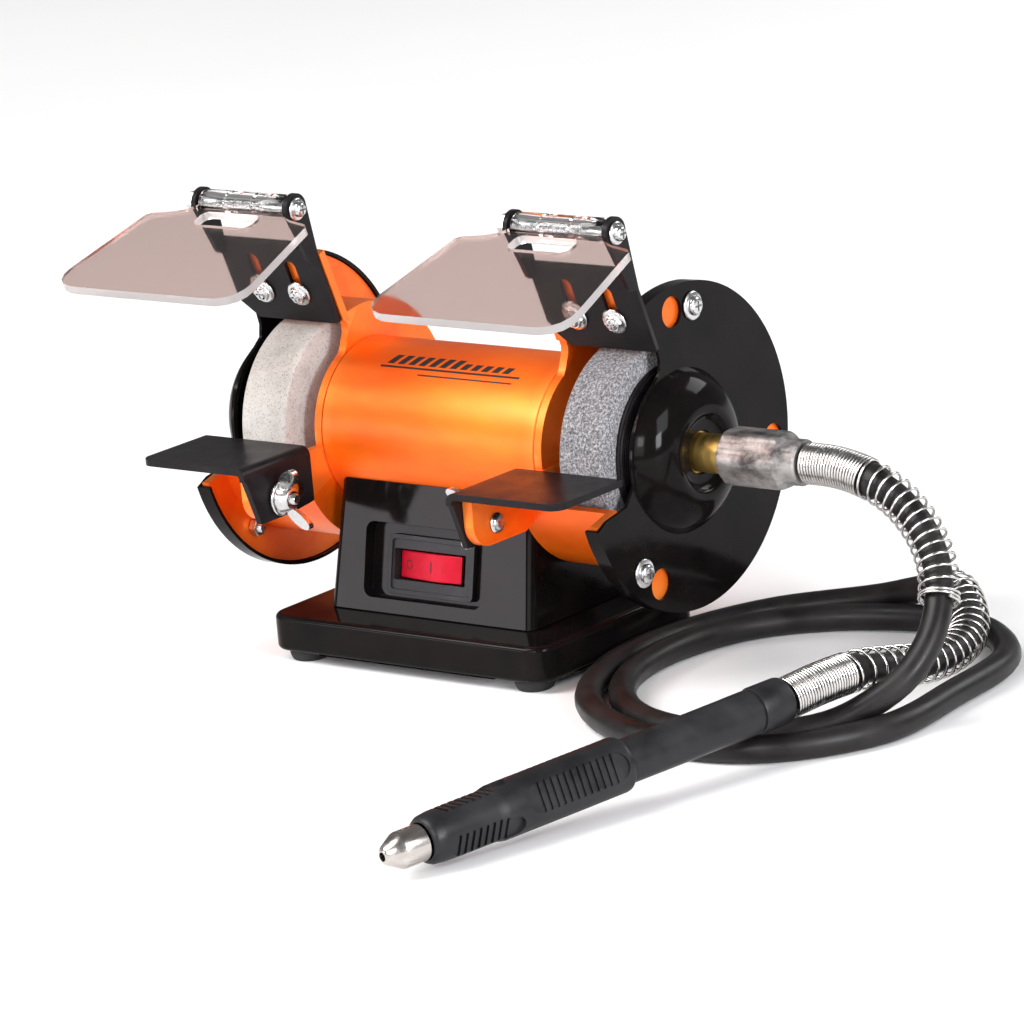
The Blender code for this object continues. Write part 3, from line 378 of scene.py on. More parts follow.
def make_materials():
    return {
        "orange": orange_paint(),
        "gloss": clouded("gloss_black_paint", (0.004, 0.003, 0.003), 0.10, (60.0, 5.0),
                         [(0.3, (0.0035, 0.003, 0.003)), (0.75, (0.008, 0.006, 0.006))],
                         (0.06, 0.15), (420.0, 2.0, 0.03, 0.25), Specular_IOR_Level=0.07),
        "satin": clouded("satin_black_paint", (0.010, 0.009, 0.010), 0.36, (90.0, 4.0),
                         [(0.3, (0.006, 0.005, 0.006)), (0.75, (0.014, 0.012, 0.013))],
                         (0.28, 0.42), (1500.0, 2.0, 0.02, 0.3), Specular_IOR_Level=0.11),
        "zinc": bright_metal("zinc_plate", (0.66, 0.66, 0.66), 0.16, 0.34),
        "steel": bright_metal("turned_steel", (0.56, 0.52, 0.49), 0.16, 0.34, (0.1, 1.0, 1.0)),
        "spring": bright_metal("spring_wire", (0.66, 0.64, 0.62), 0.14, 0.3),
        "brass": bright_metal("turned_brass", (0.82, 0.55, 0.16), 0.3, 0.5, (1.0, 0.1, 0.1)),
        "core": bright_metal("lamination_steel", (0.32, 0.32, 0.34), 0.4, 0.6, (8.0, 1.0, 1.0)),
        "aluminium": stained_aluminium(),
        "rubber": rubber("black_rubber", (0.006, 0.005, 0.005), 0.42),
        "foot": rubber("foot_rubber", (0.012, 0.012, 0.012), 0.7),
        "plastic": rubber("handpiece_plastic", (0.007, 0.007, 0.008), 0.42, 1800.0, 0.03),
        "switch": rubber("switch_plastic", (0.010, 0.010, 0.011), 0.38, 2200.0, 0.02),
        "white_wheel": bonded_grit(),
        "grey_wheel": non_woven(),
        "clear": clear_plastic(),
        "clear_edge": frosted_edge(),
        "clear_hinge": clear_barrel(),
        "red": clouded("red_switch_plastic", (0.4, 0.002, 0.014), 0.36, (120.0, 3.0),
                       [(0.3, (0.34, 0.002, 0.012)), (0.7, (0.46, 0.003, 0.02))],
                       grain=(900.0, 2.0, 0.01, 0.2), Specular_IOR_Level=0.15),
        "ink": dark_ink("switch_ink", (0.05, 0.002, 0.004)),
        "print": dark_ink("motor_print", (0.012, 0.008, 0.006)),
    }


# ---------------------------------------------------------------- building blocks

def object_from(bm, name, finish=None, origin=(0.0, 0.0, 0.0)):
    """An object from a bmesh drawn in spindle millimetres, its origin at a given point."""
    bmesh.ops.recalc_face_normals(bm, faces=bm.faces)
    shift = Vector(origin)
    for vert in bm.verts:
        vert.co = (vert.co - shift) * MM
    mesh = bpy.data.meshes.new(name)
    bm.to_mesh(mesh)
    bm.free()
    made = bpy.data.objects.new(name, mesh)
    made.location = SPINDLE + shift * MM
    if finish:
        mesh.materials.append(finish)
    show(made)
    return made


def shade_planes_flat(mesh, sharp):
    """Shade flat the large many-sided faces, and those whose neighbours curve nowhere."""
    large, flattest = 200.0 * MM * MM, 0.02       # square metres and radians
    bm = bmesh.new()
    bm.from_mesh(mesh)
    for face in bm.faces:
        curved = any(flattest < edge.calc_face_angle(0.0) < sharp for edge in face.edges)
        face.smooth = curved and (len(face.edges) < 7 or face.calc_area() < large)
    bm.to_mesh(mesh)
    bm.free()


def attach(piece, slot, *replaced, body=None):
    """Fix a piece to a body, by default that of the CAD node whose place it takes."""
    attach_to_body(piece, body or BODY_OF[replaced[0]])
    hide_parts(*replaced)


def settle(piece, slot, *replaced, body=None, bevel=0.0, angle=35.0, segments=2):
    """Round the edges, shade the piece and fix it to the body of the node that it replaces."""
    piece.data.shade_smooth()
    if bevel:
        shade_planes_flat(piece.data, math.radians(angle))
        rounding = piece.modifiers.new("edges", "BEVEL")
        rounding.width = bevel * MM
        rounding.segments = segments
        rounding.limit_method = "ANGLE"
        rounding.angle_limit = math.radians(angle)
        rounding.use_clamp_overlap = True
        rounding.harden_normals = True
    else:
        piece.data.set_sharp_from_angle(angle=math.radians(angle))
    attach(piece, slot, *replaced, body=body)


def arc(centre, radius, start, stop, steps):
    points = []
    for step in range(steps + 1):
        angle = math.radians(start + (stop - start) * step / steps)
        points.append((centre[0] + radius * math.cos(angle), centre[1] + radius * math.sin(angle)))
    return points


def extrude(outline, start, end, to_space):
    bm = bmesh.new()
    near = [bm.verts.new(to_space(a, b, start)) for a, b in outline]
    far = [bm.verts.new(to_space(a, b, end)) for a, b in outline]
    bm.faces.new(near)
    bm.faces.new(list(reversed(far)))
    for index in range(len(outline)):
        after = (index + 1) % len(outline)
        bm.faces.new((near[index], far[index], far[after], near[after]))
    return bm


def prism_x(outline, start, end):
    return extrude(outline, start, end, lambda y, z, x: Vector((x, y, z)))


def prism_z(outline, start, end):
    return extrude(outline, start, end, lambda x, y, z: Vector((x, y, z)))


def join_rings(bm, first, second):
    count = max(len(first), len(second))
    for step in range(count):
        after = (step + 1) % count
        if len(first) == 1:
            bm.faces.new((first[0], second[step], second[after]))
        elif len(second) == 1:
            bm.faces.new((first[step], second[0], first[after]))
        else:
            bm.faces.new((first[step], second[step], second[after], first[after]))


def turned(profile, segments, centre=AXIS, shape=None):
    """A body turned about an axis along X; shape(angle, radius) may change a ring's outline."""
    bm = bmesh.new()
    on_axis = profile[0][1] == 0.0
    rings = []
    for x, radius in profile:
        if radius == 0.0:
            rings.append([bm.verts.new((x, centre[0], centre[1]))])
            continue
        ring = []
        for step in range(segments):
            angle = math.tau * step / segments
            reach = shape(angle, radius) if shape else radius
            ring.append(bm.verts.new((x, centre[0] + reach * math.cos(angle),
                                      centre[1] + reach * math.sin(angle))))
        rings.append(ring)
    last = len(rings) - 1 if on_axis else len(rings)
    for index in range(last):
        join_rings(bm, rings[index], rings[(index + 1) % len(rings)])
    return bm


def mirrored(points, side):
    return [(side * x, other) for x, other in points]


def boolean(target, tool, operation):
    step = target.modifiers.new("shape", "BOOLEAN")
    step.operation = operation
    step.solver = "EXACT"
    step.object = tool
    bpy.context.view_layer.update()
    graph = bpy.context.evaluated_depsgraph_get()
    result = bpy.data.meshes.new_from_object(target.evaluated_get(graph))
    target.modifiers.remove(step)
    target.data = result
    bpy.data.objects.remove(tool, do_unlink=True)


def unite(target, bm, origin=(0.0, 0.0, 0.0)):
    boolean(target, object_from(bm, "joined", None, origin), "UNION")


def cut(target, bm, origin=(0.0, 0.0, 0.0)):
    boolean(target, object_from(bm, "cutter", None, origin), "DIFFERENCE")


def rod(start, end, radius, segments, centre=AXIS):
    return turned([(start, 0.0), (start, radius), (end, radius), (end, 0.0)], segments, centre)


def rounded_rectangle(half_x, half_y, radius, steps=8, middle=(0.0, 0.0)):
    points = []
    corners = ((1, 1, 0.0), (-1, 1, 90.0), (-1, -1, 180.0), (1, -1, 270.0))
    for sign_x, sign_y, start in corners:
        centre = (middle[0] + sign_x * (half_x - radius), middle[1] + sign_y * (half_y - radius))
        points += arc(centre, radius, start, start + 90.0, steps)
    return points


def hexagon(angle, radius):
    """Outline of a hexagon whose flats stand at the given distance."""
    sixth = math.pi / 3.0
    return radius / math.cos((angle % sixth) - sixth / 2.0)


def hexagon_beyond(limit):
    """A ring's shape for turned(): round up to a radius, and six-sided beyond it."""
    return lambda angle, radius: hexagon(angle, radius) if radius > limit else radius


def along_axis(piece, start, direction):
    """Stand a piece drawn along +X at a point in metres, along a direction."""
    turn = direction.to_track_quat("X", "Z").to_matrix().to_4x4()
    piece.matrix_world = Matrix.Translation(start) @ turn


def merged(*parts):
    """Several closed shapes in one bmesh, which touch or pass through each other."""
    whole = bmesh.new()
    for part in parts:
        held = bpy.data.meshes.new("held")
        part.to_mesh(held)
        part.free()
        whole.from_mesh(held)
        bpy.data.meshes.remove(held)
    return whole


# ---------------------------------------------------------------- base, pedestal and switch

def build_base(m):
    top = BASE_UNDERSIDE + BASE_HEIGHT
    middle = (0.0, BASE_MIDDLE_Y)
    half_x, half_y = BASE_HALF
    outline = rounded_rectangle(half_x, half_y, 8.0, 14, middle)
    housing = object_from(prism_z(outline, BASE_UNDERSIDE, top), "base_cover", m["gloss"])
    cut(housing, prism_z(between_corners(0.0), BASE_UNDERSIDE - 5.0, top - 2.5))
    settle(housing, "black_gloss_paint", "base_housing", bevel=1.9, angle=60.0, segments=5)
    plate = prism_z(between_corners(0.3), BASE_UNDERSIDE, BASE_UNDERSIDE + 1.5)
    heads = [turned_z([(-0.6, 0.0), (-0.6, 2.6), (0.1, 3.0), (0.1, 0.0)], 24,
                      (sign_x * PLATE_SCREWS[0], sign_y * PLATE_SCREWS[1] + BASE_MIDDLE_Y,
                       BASE_UNDERSIDE))
             for sign_x in (-1, 1) for sign_y in (-1, 1)]
    settle(object_from(merged(plate, *heads), "base_plate", m["zinc"]),
           "zinc_plated_steel", "bottom_plate", bevel=0.2)
    profile = [(0.0, 0.0), (0.0, 5.6), (0.35, 6.2), (1.0, 6.5), (2.6, 7.0), (3.7, 7.0), (3.7, 0.0)]
    for across, sign_x in SIDES:
        for sign_y, depth in ((-1, "front"), (1, "rear")):
            place = (sign_x * FEET[0], sign_y * FEET[1] + BASE_MIDDLE_Y, BASE_UNDERSIDE - 4.0)
            foot = object_from(turned_z(profile, 40, place), "foot_pad_" + depth + "_" + across,
                               m["foot"])
            settle(foot, "black_rubber", "foot_" + depth + "_" + across)


def between_corners(inset):
    """A cross inside the base's walls, clear of the corner blocks that carry the feet."""
    long_x, short_x, long_y, short_y = (reach - inset for reach in (58.5, 40.0, 42.0, 25.0))
    trim = 2.0
    quarter = [(long_x, short_y - trim), (long_x - trim, short_y), (short_x, short_y),
               (short_x, long_y - trim), (short_x - trim, long_y)]
    outline = []
    for sign_x, sign_y in ((1, 1), (-1, 1), (-1, -1), (1, -1)):
        corner = [(sign_x * x, sign_y * y + BASE_MIDDLE_Y) for x, y in quarter]
        outline += corner if sign_x == sign_y else list(reversed(corner))
    return outline


def turned_z(profile, segments, place):
    """A body turned about an upright axis; profile holds (height, radius)."""
    bm = turned(profile, segments)
    for vert in bm.verts:
        x, y, z = vert.co
        vert.co = Vector((place[0] + y, place[1] + z, place[2] + x))
    return bm


def face_point(across, up, out):
    """A point on the leaning front of the pedestal: across, up from its foot, and out of it."""
    y = FACE_FOOT[0] + up * math.sin(FACE_LEAN) - out * math.cos(FACE_LEAN)
    z = FACE_FOOT[1] + up * math.cos(FACE_LEAN) + out * math.sin(FACE_LEAN)
    return Vector((across, y, z))


def tapered_block(bottom, top, low, high):
    """A four-sided block with rounded corners; bottom and top are (half width, front, rear)."""
    corner, steps = 3.0, 8
    bm = bmesh.new()
    layers = []
    for (half, front, rear), z in ((bottom, low), (top, high)):
        outline = rounded_rectangle(half, (rear - front) / 2.0, corner, steps,
                                    (0.0, (rear + front) / 2.0))
        layers.append([bm.verts.new((x, y, z)) for x, y in outline])
    bm.faces.new(layers[0])
    bm.faces.new(layers[1])
    for index in range(len(layers[0])):
        after = (index + 1) % len(layers[0])
        bm.faces.new((layers[0][index], layers[0][after], layers[1][after], layers[1][index]))
    return bm


def build_pedestal(m):
    foot = FACE_FOOT[1]
    body = object_from(tapered_block((45.0, -36.0, 31.0), (42.5, -26.2, 25.0), foot, -13.0),
                       "pedestal_housing", m["gloss"])
    cut(body, rod(-60.0, 60.0, MOTOR_RADIUS + 0.3, 160))
    recess = rounded_rectangle(26.0, 13.2, 3.4, 8, RECESS_CENTRE)
    cut(body, extrude(recess, -RECESS_DEPTH, 6.0, face_point))
    window = rounded_rectangle(17.4, 8.0, 1.0, 4, SWITCH_CENTRE)
    cut(body, extrude(window, -24.0, 6.0, face_point))
    hole = arc((0.0, GLAND_HEIGHT), 5.3, 0.0, 352.5, 47)
    cut(body, extrude(hole, 20.0, 40.0, lambda x, z, y: Vector((x, y, z))))
    settle(body, "black_gloss_paint", "pedestal", bevel=1.0, angle=40.0, segments=4)


def build_switch(m):
    across, up = SWITCH_CENTRE
    deep = -RECESS_DEPTH
    frame_outline = rounded_rectangle(19.0, 10.4, 2.0, 8, SWITCH_CENTRE)
    body = object_from(extrude(frame_outline, deep + 0.3, deep + 2.2, face_point),
                       "switch_frame", m["switch"])
    throat = rounded_rectangle(17.0, 7.6, 0.8, 4, SWITCH_CENTRE)
    unite(body, extrude(throat, deep - 12.0, deep + 1.5, face_point))
    step = rounded_rectangle(17.4, 8.8, 1.2, 6, SWITCH_CENTRE)
    cut(body, extrude(step, deep + 1.4, deep + 8.0, face_point))
    middle_x = across - 1.0
    opening = rounded_rectangle(15.7, 5.4, 0.4, 2, (middle_x, up))
    cut(body, extrude(opening, deep - 7.4, deep + 8.0, face_point))
    settle(body, "black_plastic", "switch_body", bevel=0.35, segments=3)

    def on_rocker(along, out, height):
        """A point on the tilted rocker, from its pivot."""
        x = along * math.cos(ROCKER_TILT) - out * math.sin(ROCKER_TILT)
        y = along * math.sin(ROCKER_TILT) + out * math.cos(ROCKER_TILT)
        return face_point(middle_x + x, up + height, deep - 1.4 + y)

    def on_cap(along, height, out):
        """A point on the rocker's face between its pressed-in edge and its crest."""
        slope = (ROCKER_CREST[1] - ROCKER_EDGE[1]) / (ROCKER_CREST[0] - ROCKER_EDGE[0])
        return on_rocker(along, ROCKER_EDGE[1] + (along - ROCKER_EDGE[0]) * slope + out, height)

    profile = [ROCKER_EDGE, ROCKER_CREST, (13.9, -0.2), (12.8, -1.6), (4.0, -4.0), (-4.0, -4.0),
               (-13.0, -1.0)]
    rocker = object_from(extrude(profile, -ROCKER_HALF_HEIGHT, ROCKER_HALF_HEIGHT, on_rocker),
                         "rocker_cap", m["red"])
    settle(rocker, "red_plastic", "switch_rocker", bevel=0.45, segments=3)
    stop, run = (-10.2, 0.0), (2.0, 0.0)
    ring = object_from(extrude(rounded_rectangle(1.7, 1.7, 1.666, 8, stop), -0.1, 0.03, on_cap),
                       "stop_mark", m["ink"])
    cut(ring, extrude(rounded_rectangle(1.2, 1.2, 1.18, 8, stop), -0.3, 0.3, on_cap))
    bar = object_from(extrude(rounded_rectangle(0.4, 1.9, 0.392, 8, run), -0.1, 0.03, on_cap),
                      "run_mark", m["ink"])
    for mark in (ring, bar):
        settle(mark, "red_plastic", body="rocker")


def build_cord_gland(m):
    outer = [(29.3, 7.4), (31.2, 7.4), (31.6, 7.0), (32.4, 6.4), (33.4, 6.1), (34.0, 6.0)]
    for ring in range(3):
        at = 34.3 + ring * 1.1
        outer += [(at, 5.4), (at + 0.35, 5.4), (at + 0.35, 5.9), (at + 0.9, 5.9)]
    outer += [(37.0, 5.4), (37.0, 3.6), (27.0, 3.6), (27.0, 4.9), (29.3, 4.9)]
    bm = turned(outer, 64)
    for vert in bm.verts:
        along, across, up = vert.co
        vert.co = Vector((across, along + 1.5, up + GLAND_HEIGHT))
    settle(object_from(bm, "gland_sleeve", m["rubber"]), "black_rubber", "cord_gland")


# ---------------------------------------------------------------- motor and spindle

def build_motor(m):
    inner = MOTOR_RADIUS - 1.6
    half = MOTOR_HALF_LENGTH
    shell = [(-half, inner), (-half, MOTOR_RADIUS - 0.35), (-half + 0.35, MOTOR_RADIUS)]
    shell += [(half * step / 8.0, MOTOR_RADIUS) for step in range(-7, 8)]
    shell += [(half - 0.35, MOTOR_RADIUS), (half, MOTOR_RADIUS - 0.35), (half, inner)]
    tube = object_from(turned(shell, 180), "motor_tube", m["orange"])
    settle(tube, "orange_paint", "motor_shell")


def build_stripes(m):
    """Plain slanted bars and two lines, printed on the front of the motor."""
    bm = bmesh.new()

    def bar(start, end, low, high, slant=0.0):
        steps = 5
        rows = []
        for step in range(steps + 1):
            share = step / steps
            angle = math.radians(low + (high - low) * share)
            reach = MOTOR_RADIUS + 0.05
            lean = slant * share
            rows.append([bm.verts.new((x + lean, reach * math.cos(angle), reach * math.sin(angle)))
                         for x in (start, end)])
        for first, second in zip(rows, rows[1:]):
            bm.faces.new((first[0], first[1], second[1], second[0]))

    for index in range(STRIPE_BARS):
        start = STRIPE_SPAN[0] + 2.0 + index * 4.6
        short = 0.65 if index >= STRIPE_BARS * 6 // 10 else 1.0
        bar(start, start + 2.9, STRIPE_ANGLE, STRIPE_ANGLE - 9.0 * short, 2.2 * short)
    bar(STRIPE_SPAN[0], STRIPE_SPAN[1], STRIPE_ANGLE + 3.6, STRIPE_ANGLE + 1.9)
    bar(STRIPE_SPAN[0] + 18.0, STRIPE_SPAN[1] - 2.0, STRIPE_ANGLE + 8.6, STRIPE_ANGLE + 7.4)
    settle(object_from(bm, "motor_stripes", m["print"]), "orange_paint", body="frame")


def build_wheels(m):
    """Each side's wheel, the flanges on both sides of it and the nut that clamps them."""
    bore = SPINDLE_BORE
    for name, side in SIDES:
        wheel_name, start, end, finish, slot_name, edge, reach, band = WHEELS[name]
        face = [(start, bore), (start, 14.0), (start, 26.0), (start, WHEEL_RADIUS - edge),
                (start + edge * 0.4, WHEEL_RADIUS - edge * 0.3), (start + edge, WHEEL_RADIUS)]
        step = (end - start - 2.0 * edge) / 6.0
        rim = [(start + edge + step * index, WHEEL_RADIUS) for index in range(1, 6)]
        other = [(start + end - x, radius) for x, radius in reversed(face)]
        hub = [(52.2, bore), (52.2, 8.0), (start - 2.6, 8.0), (start - 2.6, 11.6),
               (start - 2.2, 12.0), (start - 0.3, 12.0), (start - 0.3, bore)]
        outer = [(end + 0.3, bore), (end + 0.3, reach), (end + 0.9, reach),
                 (end + 1.3, reach - 0.4)]
        ridge = reach - 1.0
        while ridge > reach - band:
            outer += [(end + 1.3, ridge), (end + 1.9, ridge - 0.25), (end + 1.9, ridge - 0.75)]
            ridge -= 1.0
        outer += [(end + 2.3, ridge - 0.6), (end + 2.3, bore)]
        for profile, rounds, made, paint, slot, replaced in (
                (face + rim + other, 180, wheel_name, finish, slot_name, "wheel_"),
                (hub, 72, "hub_flange_" + name, "steel", "satin_black_paint", "inner_flange_"),
                (outer, 128, "clamp_flange_" + name, "satin", "satin_black_paint",
                 "outer_flange_")):
            settle(object_from(turned(mirrored(profile, side), rounds), made, m[paint]), slot,
                   replaced + name)
        nut = [(end + 2.6, bore), (end + 2.6, 6.5), (end + 5.4, 6.5), (end + 5.4, bore)]
        bm = turned(mirrored(nut, side), 24, shape=hexagon_beyond(5.0))
        settle(object_from(bm, "clamp_nut_" + name, m["zinc"]), "zinc_plated_steel",
               "spindle_nut_" + name, bevel=0.25)


# ---------------------------------------------------------------- wheel guards

def leaning(height, out):
    y = DEFLECTOR_FOOT[0] - height * math.sin(LEAN) - out * math.cos(LEAN)
    z = DEFLECTOR_FOOT[1] + height * math.cos(LEAN) - out * math.sin(LEAN)
    return (y, z)


def leaning_space(across, height, out):
    y, z = leaning(height, out)
    return Vector((across, y, z))


def leaning_rod(across, height, start, end, radius, segments):
    circle = []
    for step in range(segments):
        angle = math.tau * step / segments
        circle.append((across + radius * math.cos(angle), height + radius * math.sin(angle)))
    return extrude(circle, start, end, leaning_space)


def screw_point(angle):
    turn = math.radians(angle)
    return (GUARD_CENTRE[0] + COVER_SCREW_RADIUS * math.cos(turn),
            GUARD_CENTRE[1] + COVER_SCREW_RADIUS * math.sin(turn))


def drum_arc(radius):
    """The drum's section behind the wheel, from low in front round to high in front."""
    return arc(AXIS, radius, DRUM_CLOSES, DRUM_OPENS + 360.0, 90)


def end_wall_outline():
    brow = [(-11.0, 38.4), (-10.0, 35.6), (-10.2, 33.0), (-11.2, 30.8), (-12.0, 28.6)]
    front = arc(AXIS, MOTOR_RADIUS - 0.1, 117.0, DRUM_CLOSES, 32)
    return drum_arc(DRUM_RADIUS) + brow + front


def build_end_bell(m, name, side):
    """Motor end wall, wheel drum, outer flange, deflector pad and tool rest ear."""
    bell = object_from(prism_x(end_wall_outline(), side * WALL_INNER, side * WALL_OUTER),
                       "guard_casting_" + name, m["orange"])
    inner = arc(AXIS, DRUM_RADIUS - DRUM_WALL, DRUM_OPENS + 360.0, DRUM_CLOSES, 90)
    drum = drum_arc(DRUM_RADIUS) + inner
    unite(bell, prism_x(drum, side * (WALL_OUTER - 1.0), side * DRUM_END))
    flange = arc(GUARD_CENTRE, FLANGE_OUTER_RADIUS, 196.0, 467.5, 110) + inner
    unite(bell, prism_x(flange, side * FLANGE_START, side * FLANGE_END))
    pad = [leaning(-1.5, -3.0), leaning(27.8, -3.0), leaning(27.8, 0.0), leaning(0.0, 0.0)]
    unite(bell, prism_x(pad, side * 47.0, side * 82.5))
    ear = ([(-24.0, -3.0), (-69.5, -3.0)] + arc((-61.0, -12.5), 8.5, 180.0, 270.0, 16)
           + [(-42.0, -21.0), (-24.0, -14.0)])
    unite(bell, prism_x(ear, side * EAR[0], side * EAR[1]))
    boss = [(43.2, 0.0), (43.2, 14.0), (48.0, 14.0), (48.0, 0.0)]
    unite(bell, turned(mirrored(boss, side), 48))
    cut(bell, rod(side * 40.0, side * 55.0, 11.3, 48))
    for angle in COVER_SCREW_ANGLES:
        cut(bell, rod(side * 80.0, side * 90.0, SCREW_BORE, 20, screw_point(angle)))
    for across in DEFLECTOR_SCREWS:
        cut(bell, leaning_rod(side * across, DEFLECTOR_SCREW_HEIGHT, -5.0, 3.0, 2.0, 20))
    settle(bell, "orange_paint", "end_bell_" + name, bevel=0.4, angle=50.0, segments=3)


def cover_outline():
    """The cover's edge: round behind, stepped back in front to bare the wheel."""
    round_part = arc(GUARD_CENTRE, COVER_RADIUS, *COVER_ARC, 120)
    notch = [leaning(3.0, -1.6), (-9.6, 33.4), (-10.3, 28.9)]
    beside_dome = arc(AXIS, DOME_RADIUS + 1.0, 118.0, 190.0, 24)
    lower_edge = [(-34.0, -11.5), (-45.4, -13.4)]
    return round_part + notch + beside_dome + lower_edge


def build_cover(m, name, side, bolt):
    sheet = prism_x(cover_outline(), side * (COVER_FACE - COVER_SHEET), side * COVER_FACE)
    cover = object_from(sheet, "wheel_cover_" + name, m["gloss"])
    cut(cover, rod(side * 80.0, side * 95.0, DOME_RADIUS - 1.0, 96))
    rim = (arc(GUARD_CENTRE, COVER_RADIUS, *COVER_ARC, 120)
           + arc(GUARD_CENTRE, COVER_RADIUS - COVER_SHEET, *reversed(COVER_ARC), 120))
    unite(cover, prism_x(rim, side * (COVER_FACE - COVER_RIM), side * (COVER_FACE - 0.2)))
    crown = smooth_profile([(-0.3, DOME_RADIUS), (1.0, 27.9), (4.0, 26.0), (7.0, 22.5),
                            (8.8, 18.5), (9.5, 15.0), (9.2, 13.4), (8.2, 12.4), (7.5, 11.2),
                            (HUB_RISE, 9.2)])
    outside = [(COVER_FACE + rise, radius) for rise, radius in crown]
    inside = [(x - COVER_SHEET, radius) for x, radius in reversed(outside)]
    top = COVER_FACE + HUB_RISE
    if side > 0:
        hub = [(top, 7.6), (top - 0.3, 7.3), (top - COVER_SHEET, 7.3)]
        dome = outside + hub + inside
    else:
        dome = [(top, 0.0), *reversed(outside), *reversed(inside), (top - COVER_SHEET, 0.0)]
    unite(cover, turned(mirrored(dome, side), 128))
    for angle in COVER_SCREW_ANGLES:
        for radius, rounds, turn in ((SCREW_BORE, 20, 0.0), (COVER_HOLE, 48, COVER_HOLE_OFFSET)):
            cut(cover, rod(side * 80.0, side * 95.0, radius, rounds, screw_point(angle + turn)))
    settle(cover, "black_gloss_paint", "guard_cover_" + name, bevel=0.35, angle=45.0, segments=3)
    for place, angle in zip(("upper", "rear", "lower"), COVER_SCREW_ANGLES):
        seat = (side * (COVER_FACE + 0.3), *screw_point(angle))
        put_screw(bolt, "cover_bolt_" + place + "_" + name, seat, (side, 0.0, 0.0),
                  "cover_screw_" + place + "_" + name)


def smooth_profile(points):
    """A turned profile passed through a smooth curve."""
    path = smooth_path([(a, b, 0.0) for a, b in points], 1.0, 5)
    return [(place.x, place.y) for place in path]


# ---------------------------------------------------------------- screws

def thread(start, end, radius):
    """Profile of a screw's thread between two places, as rings."""
    pitch = 0.7
    profile = []
    at = start
    while at < end - pitch:
        profile += [(at, radius - 0.3), (at + pitch / 2.0, radius)]
        at += pitch
    return profile + [(end, radius - 0.3)]


def make_screw(m, name, length, head, washer, *parts):
    """A cross-recessed screw along +X whose washer sits at zero, as a shared mesh.

    head and washer are each (radius, height), and parts are closed shapes added to it.
    """
    radius, height = head
    reach, thick = washer
    shank = [(-length, 0.0), (-length, 1.4)] + thread(-length + 0.3, 0.0, 1.8) + [(0.0, 0.0)]
    dome = [(thick, 0.0), (thick, radius)]
    for step in range(1, 9):
        angle = math.pi / 2.0 * step / 9.0
        dome.append((thick + height * (0.25 + 0.75 * math.sin(angle)),
                     radius * (1.0 - 0.55 * (1.0 - math.cos(angle)))))
    dome += [(thick + height, 0.0)]
    top = object_from(turned(dome, 48), "head")
    for half_a, half_b in ((1.75, 0.38), (0.38, 1.75)):
        slot_bm = prism_x([(-half_a, -half_b), (half_a, -half_b), (half_a, half_b),
                           (-half_a, half_b)], thick + height * 0.35, thick + height + 2.0)
        cut(top, slot_bm)
    head_bm = bmesh.new()
    head_bm.from_mesh(top.data)
    bpy.data.objects.remove(top, do_unlink=True)
    for vert in head_bm.verts:
        vert.co = vert.co / MM
    ring = [(0.0, 0.0), (0.0, reach), (thick * 0.3, reach + 0.15), (thick * 0.7, reach),
            (thick, reach - 0.4), (thick, 0.0)]
    pattern = object_from(merged(turned(shank, 24), turned(ring, 48), head_bm, *parts), name,
                          m["zinc"])
    mesh = pattern.data
    bpy.data.objects.remove(pattern, do_unlink=True)
    mesh.shade_smooth()
    mesh.set_sharp_from_angle(angle=math.radians(35.0))
    return mesh


def hex_part(start, end, half_flat):
    profile = [(start, 0.0), (start, half_flat - 0.25), (start + 0.25, half_flat),
               (end - 0.25, half_flat), (end, half_flat - 0.25), (end, 0.0)]
    return turned(profile, 48, shape=hexagon)


def put_screw(mesh, name, place, direction, node_name):
    """A screw's mesh at a point in spindle millimetres, along a direction."""
    screw = bpy.data.objects.new(name, mesh)
    show(screw)
    along_axis(screw, SPINDLE + Vector(place) * MM, Vector(direction))
    attach(screw, "zinc_plated_steel", node_name)


# ---------------------------------------------------------------- deflectors and visors

def pivot_on_plane():
    y, z = PIVOT[0] - DEFLECTOR_FOOT[0], PIVOT[1] - DEFLECTOR_FOOT[1]
    return (z * math.cos(LEAN) - y * math.sin(LEAN), -y * math.cos(LEAN) - z * math.sin(LEAN))


def slot_outline(across, low, high, radius):
    return (arc((across, low + radius), radius, 180.0, 360.0, 16)
            + arc((across, high - radius), radius, 0.0, 180.0, 16))


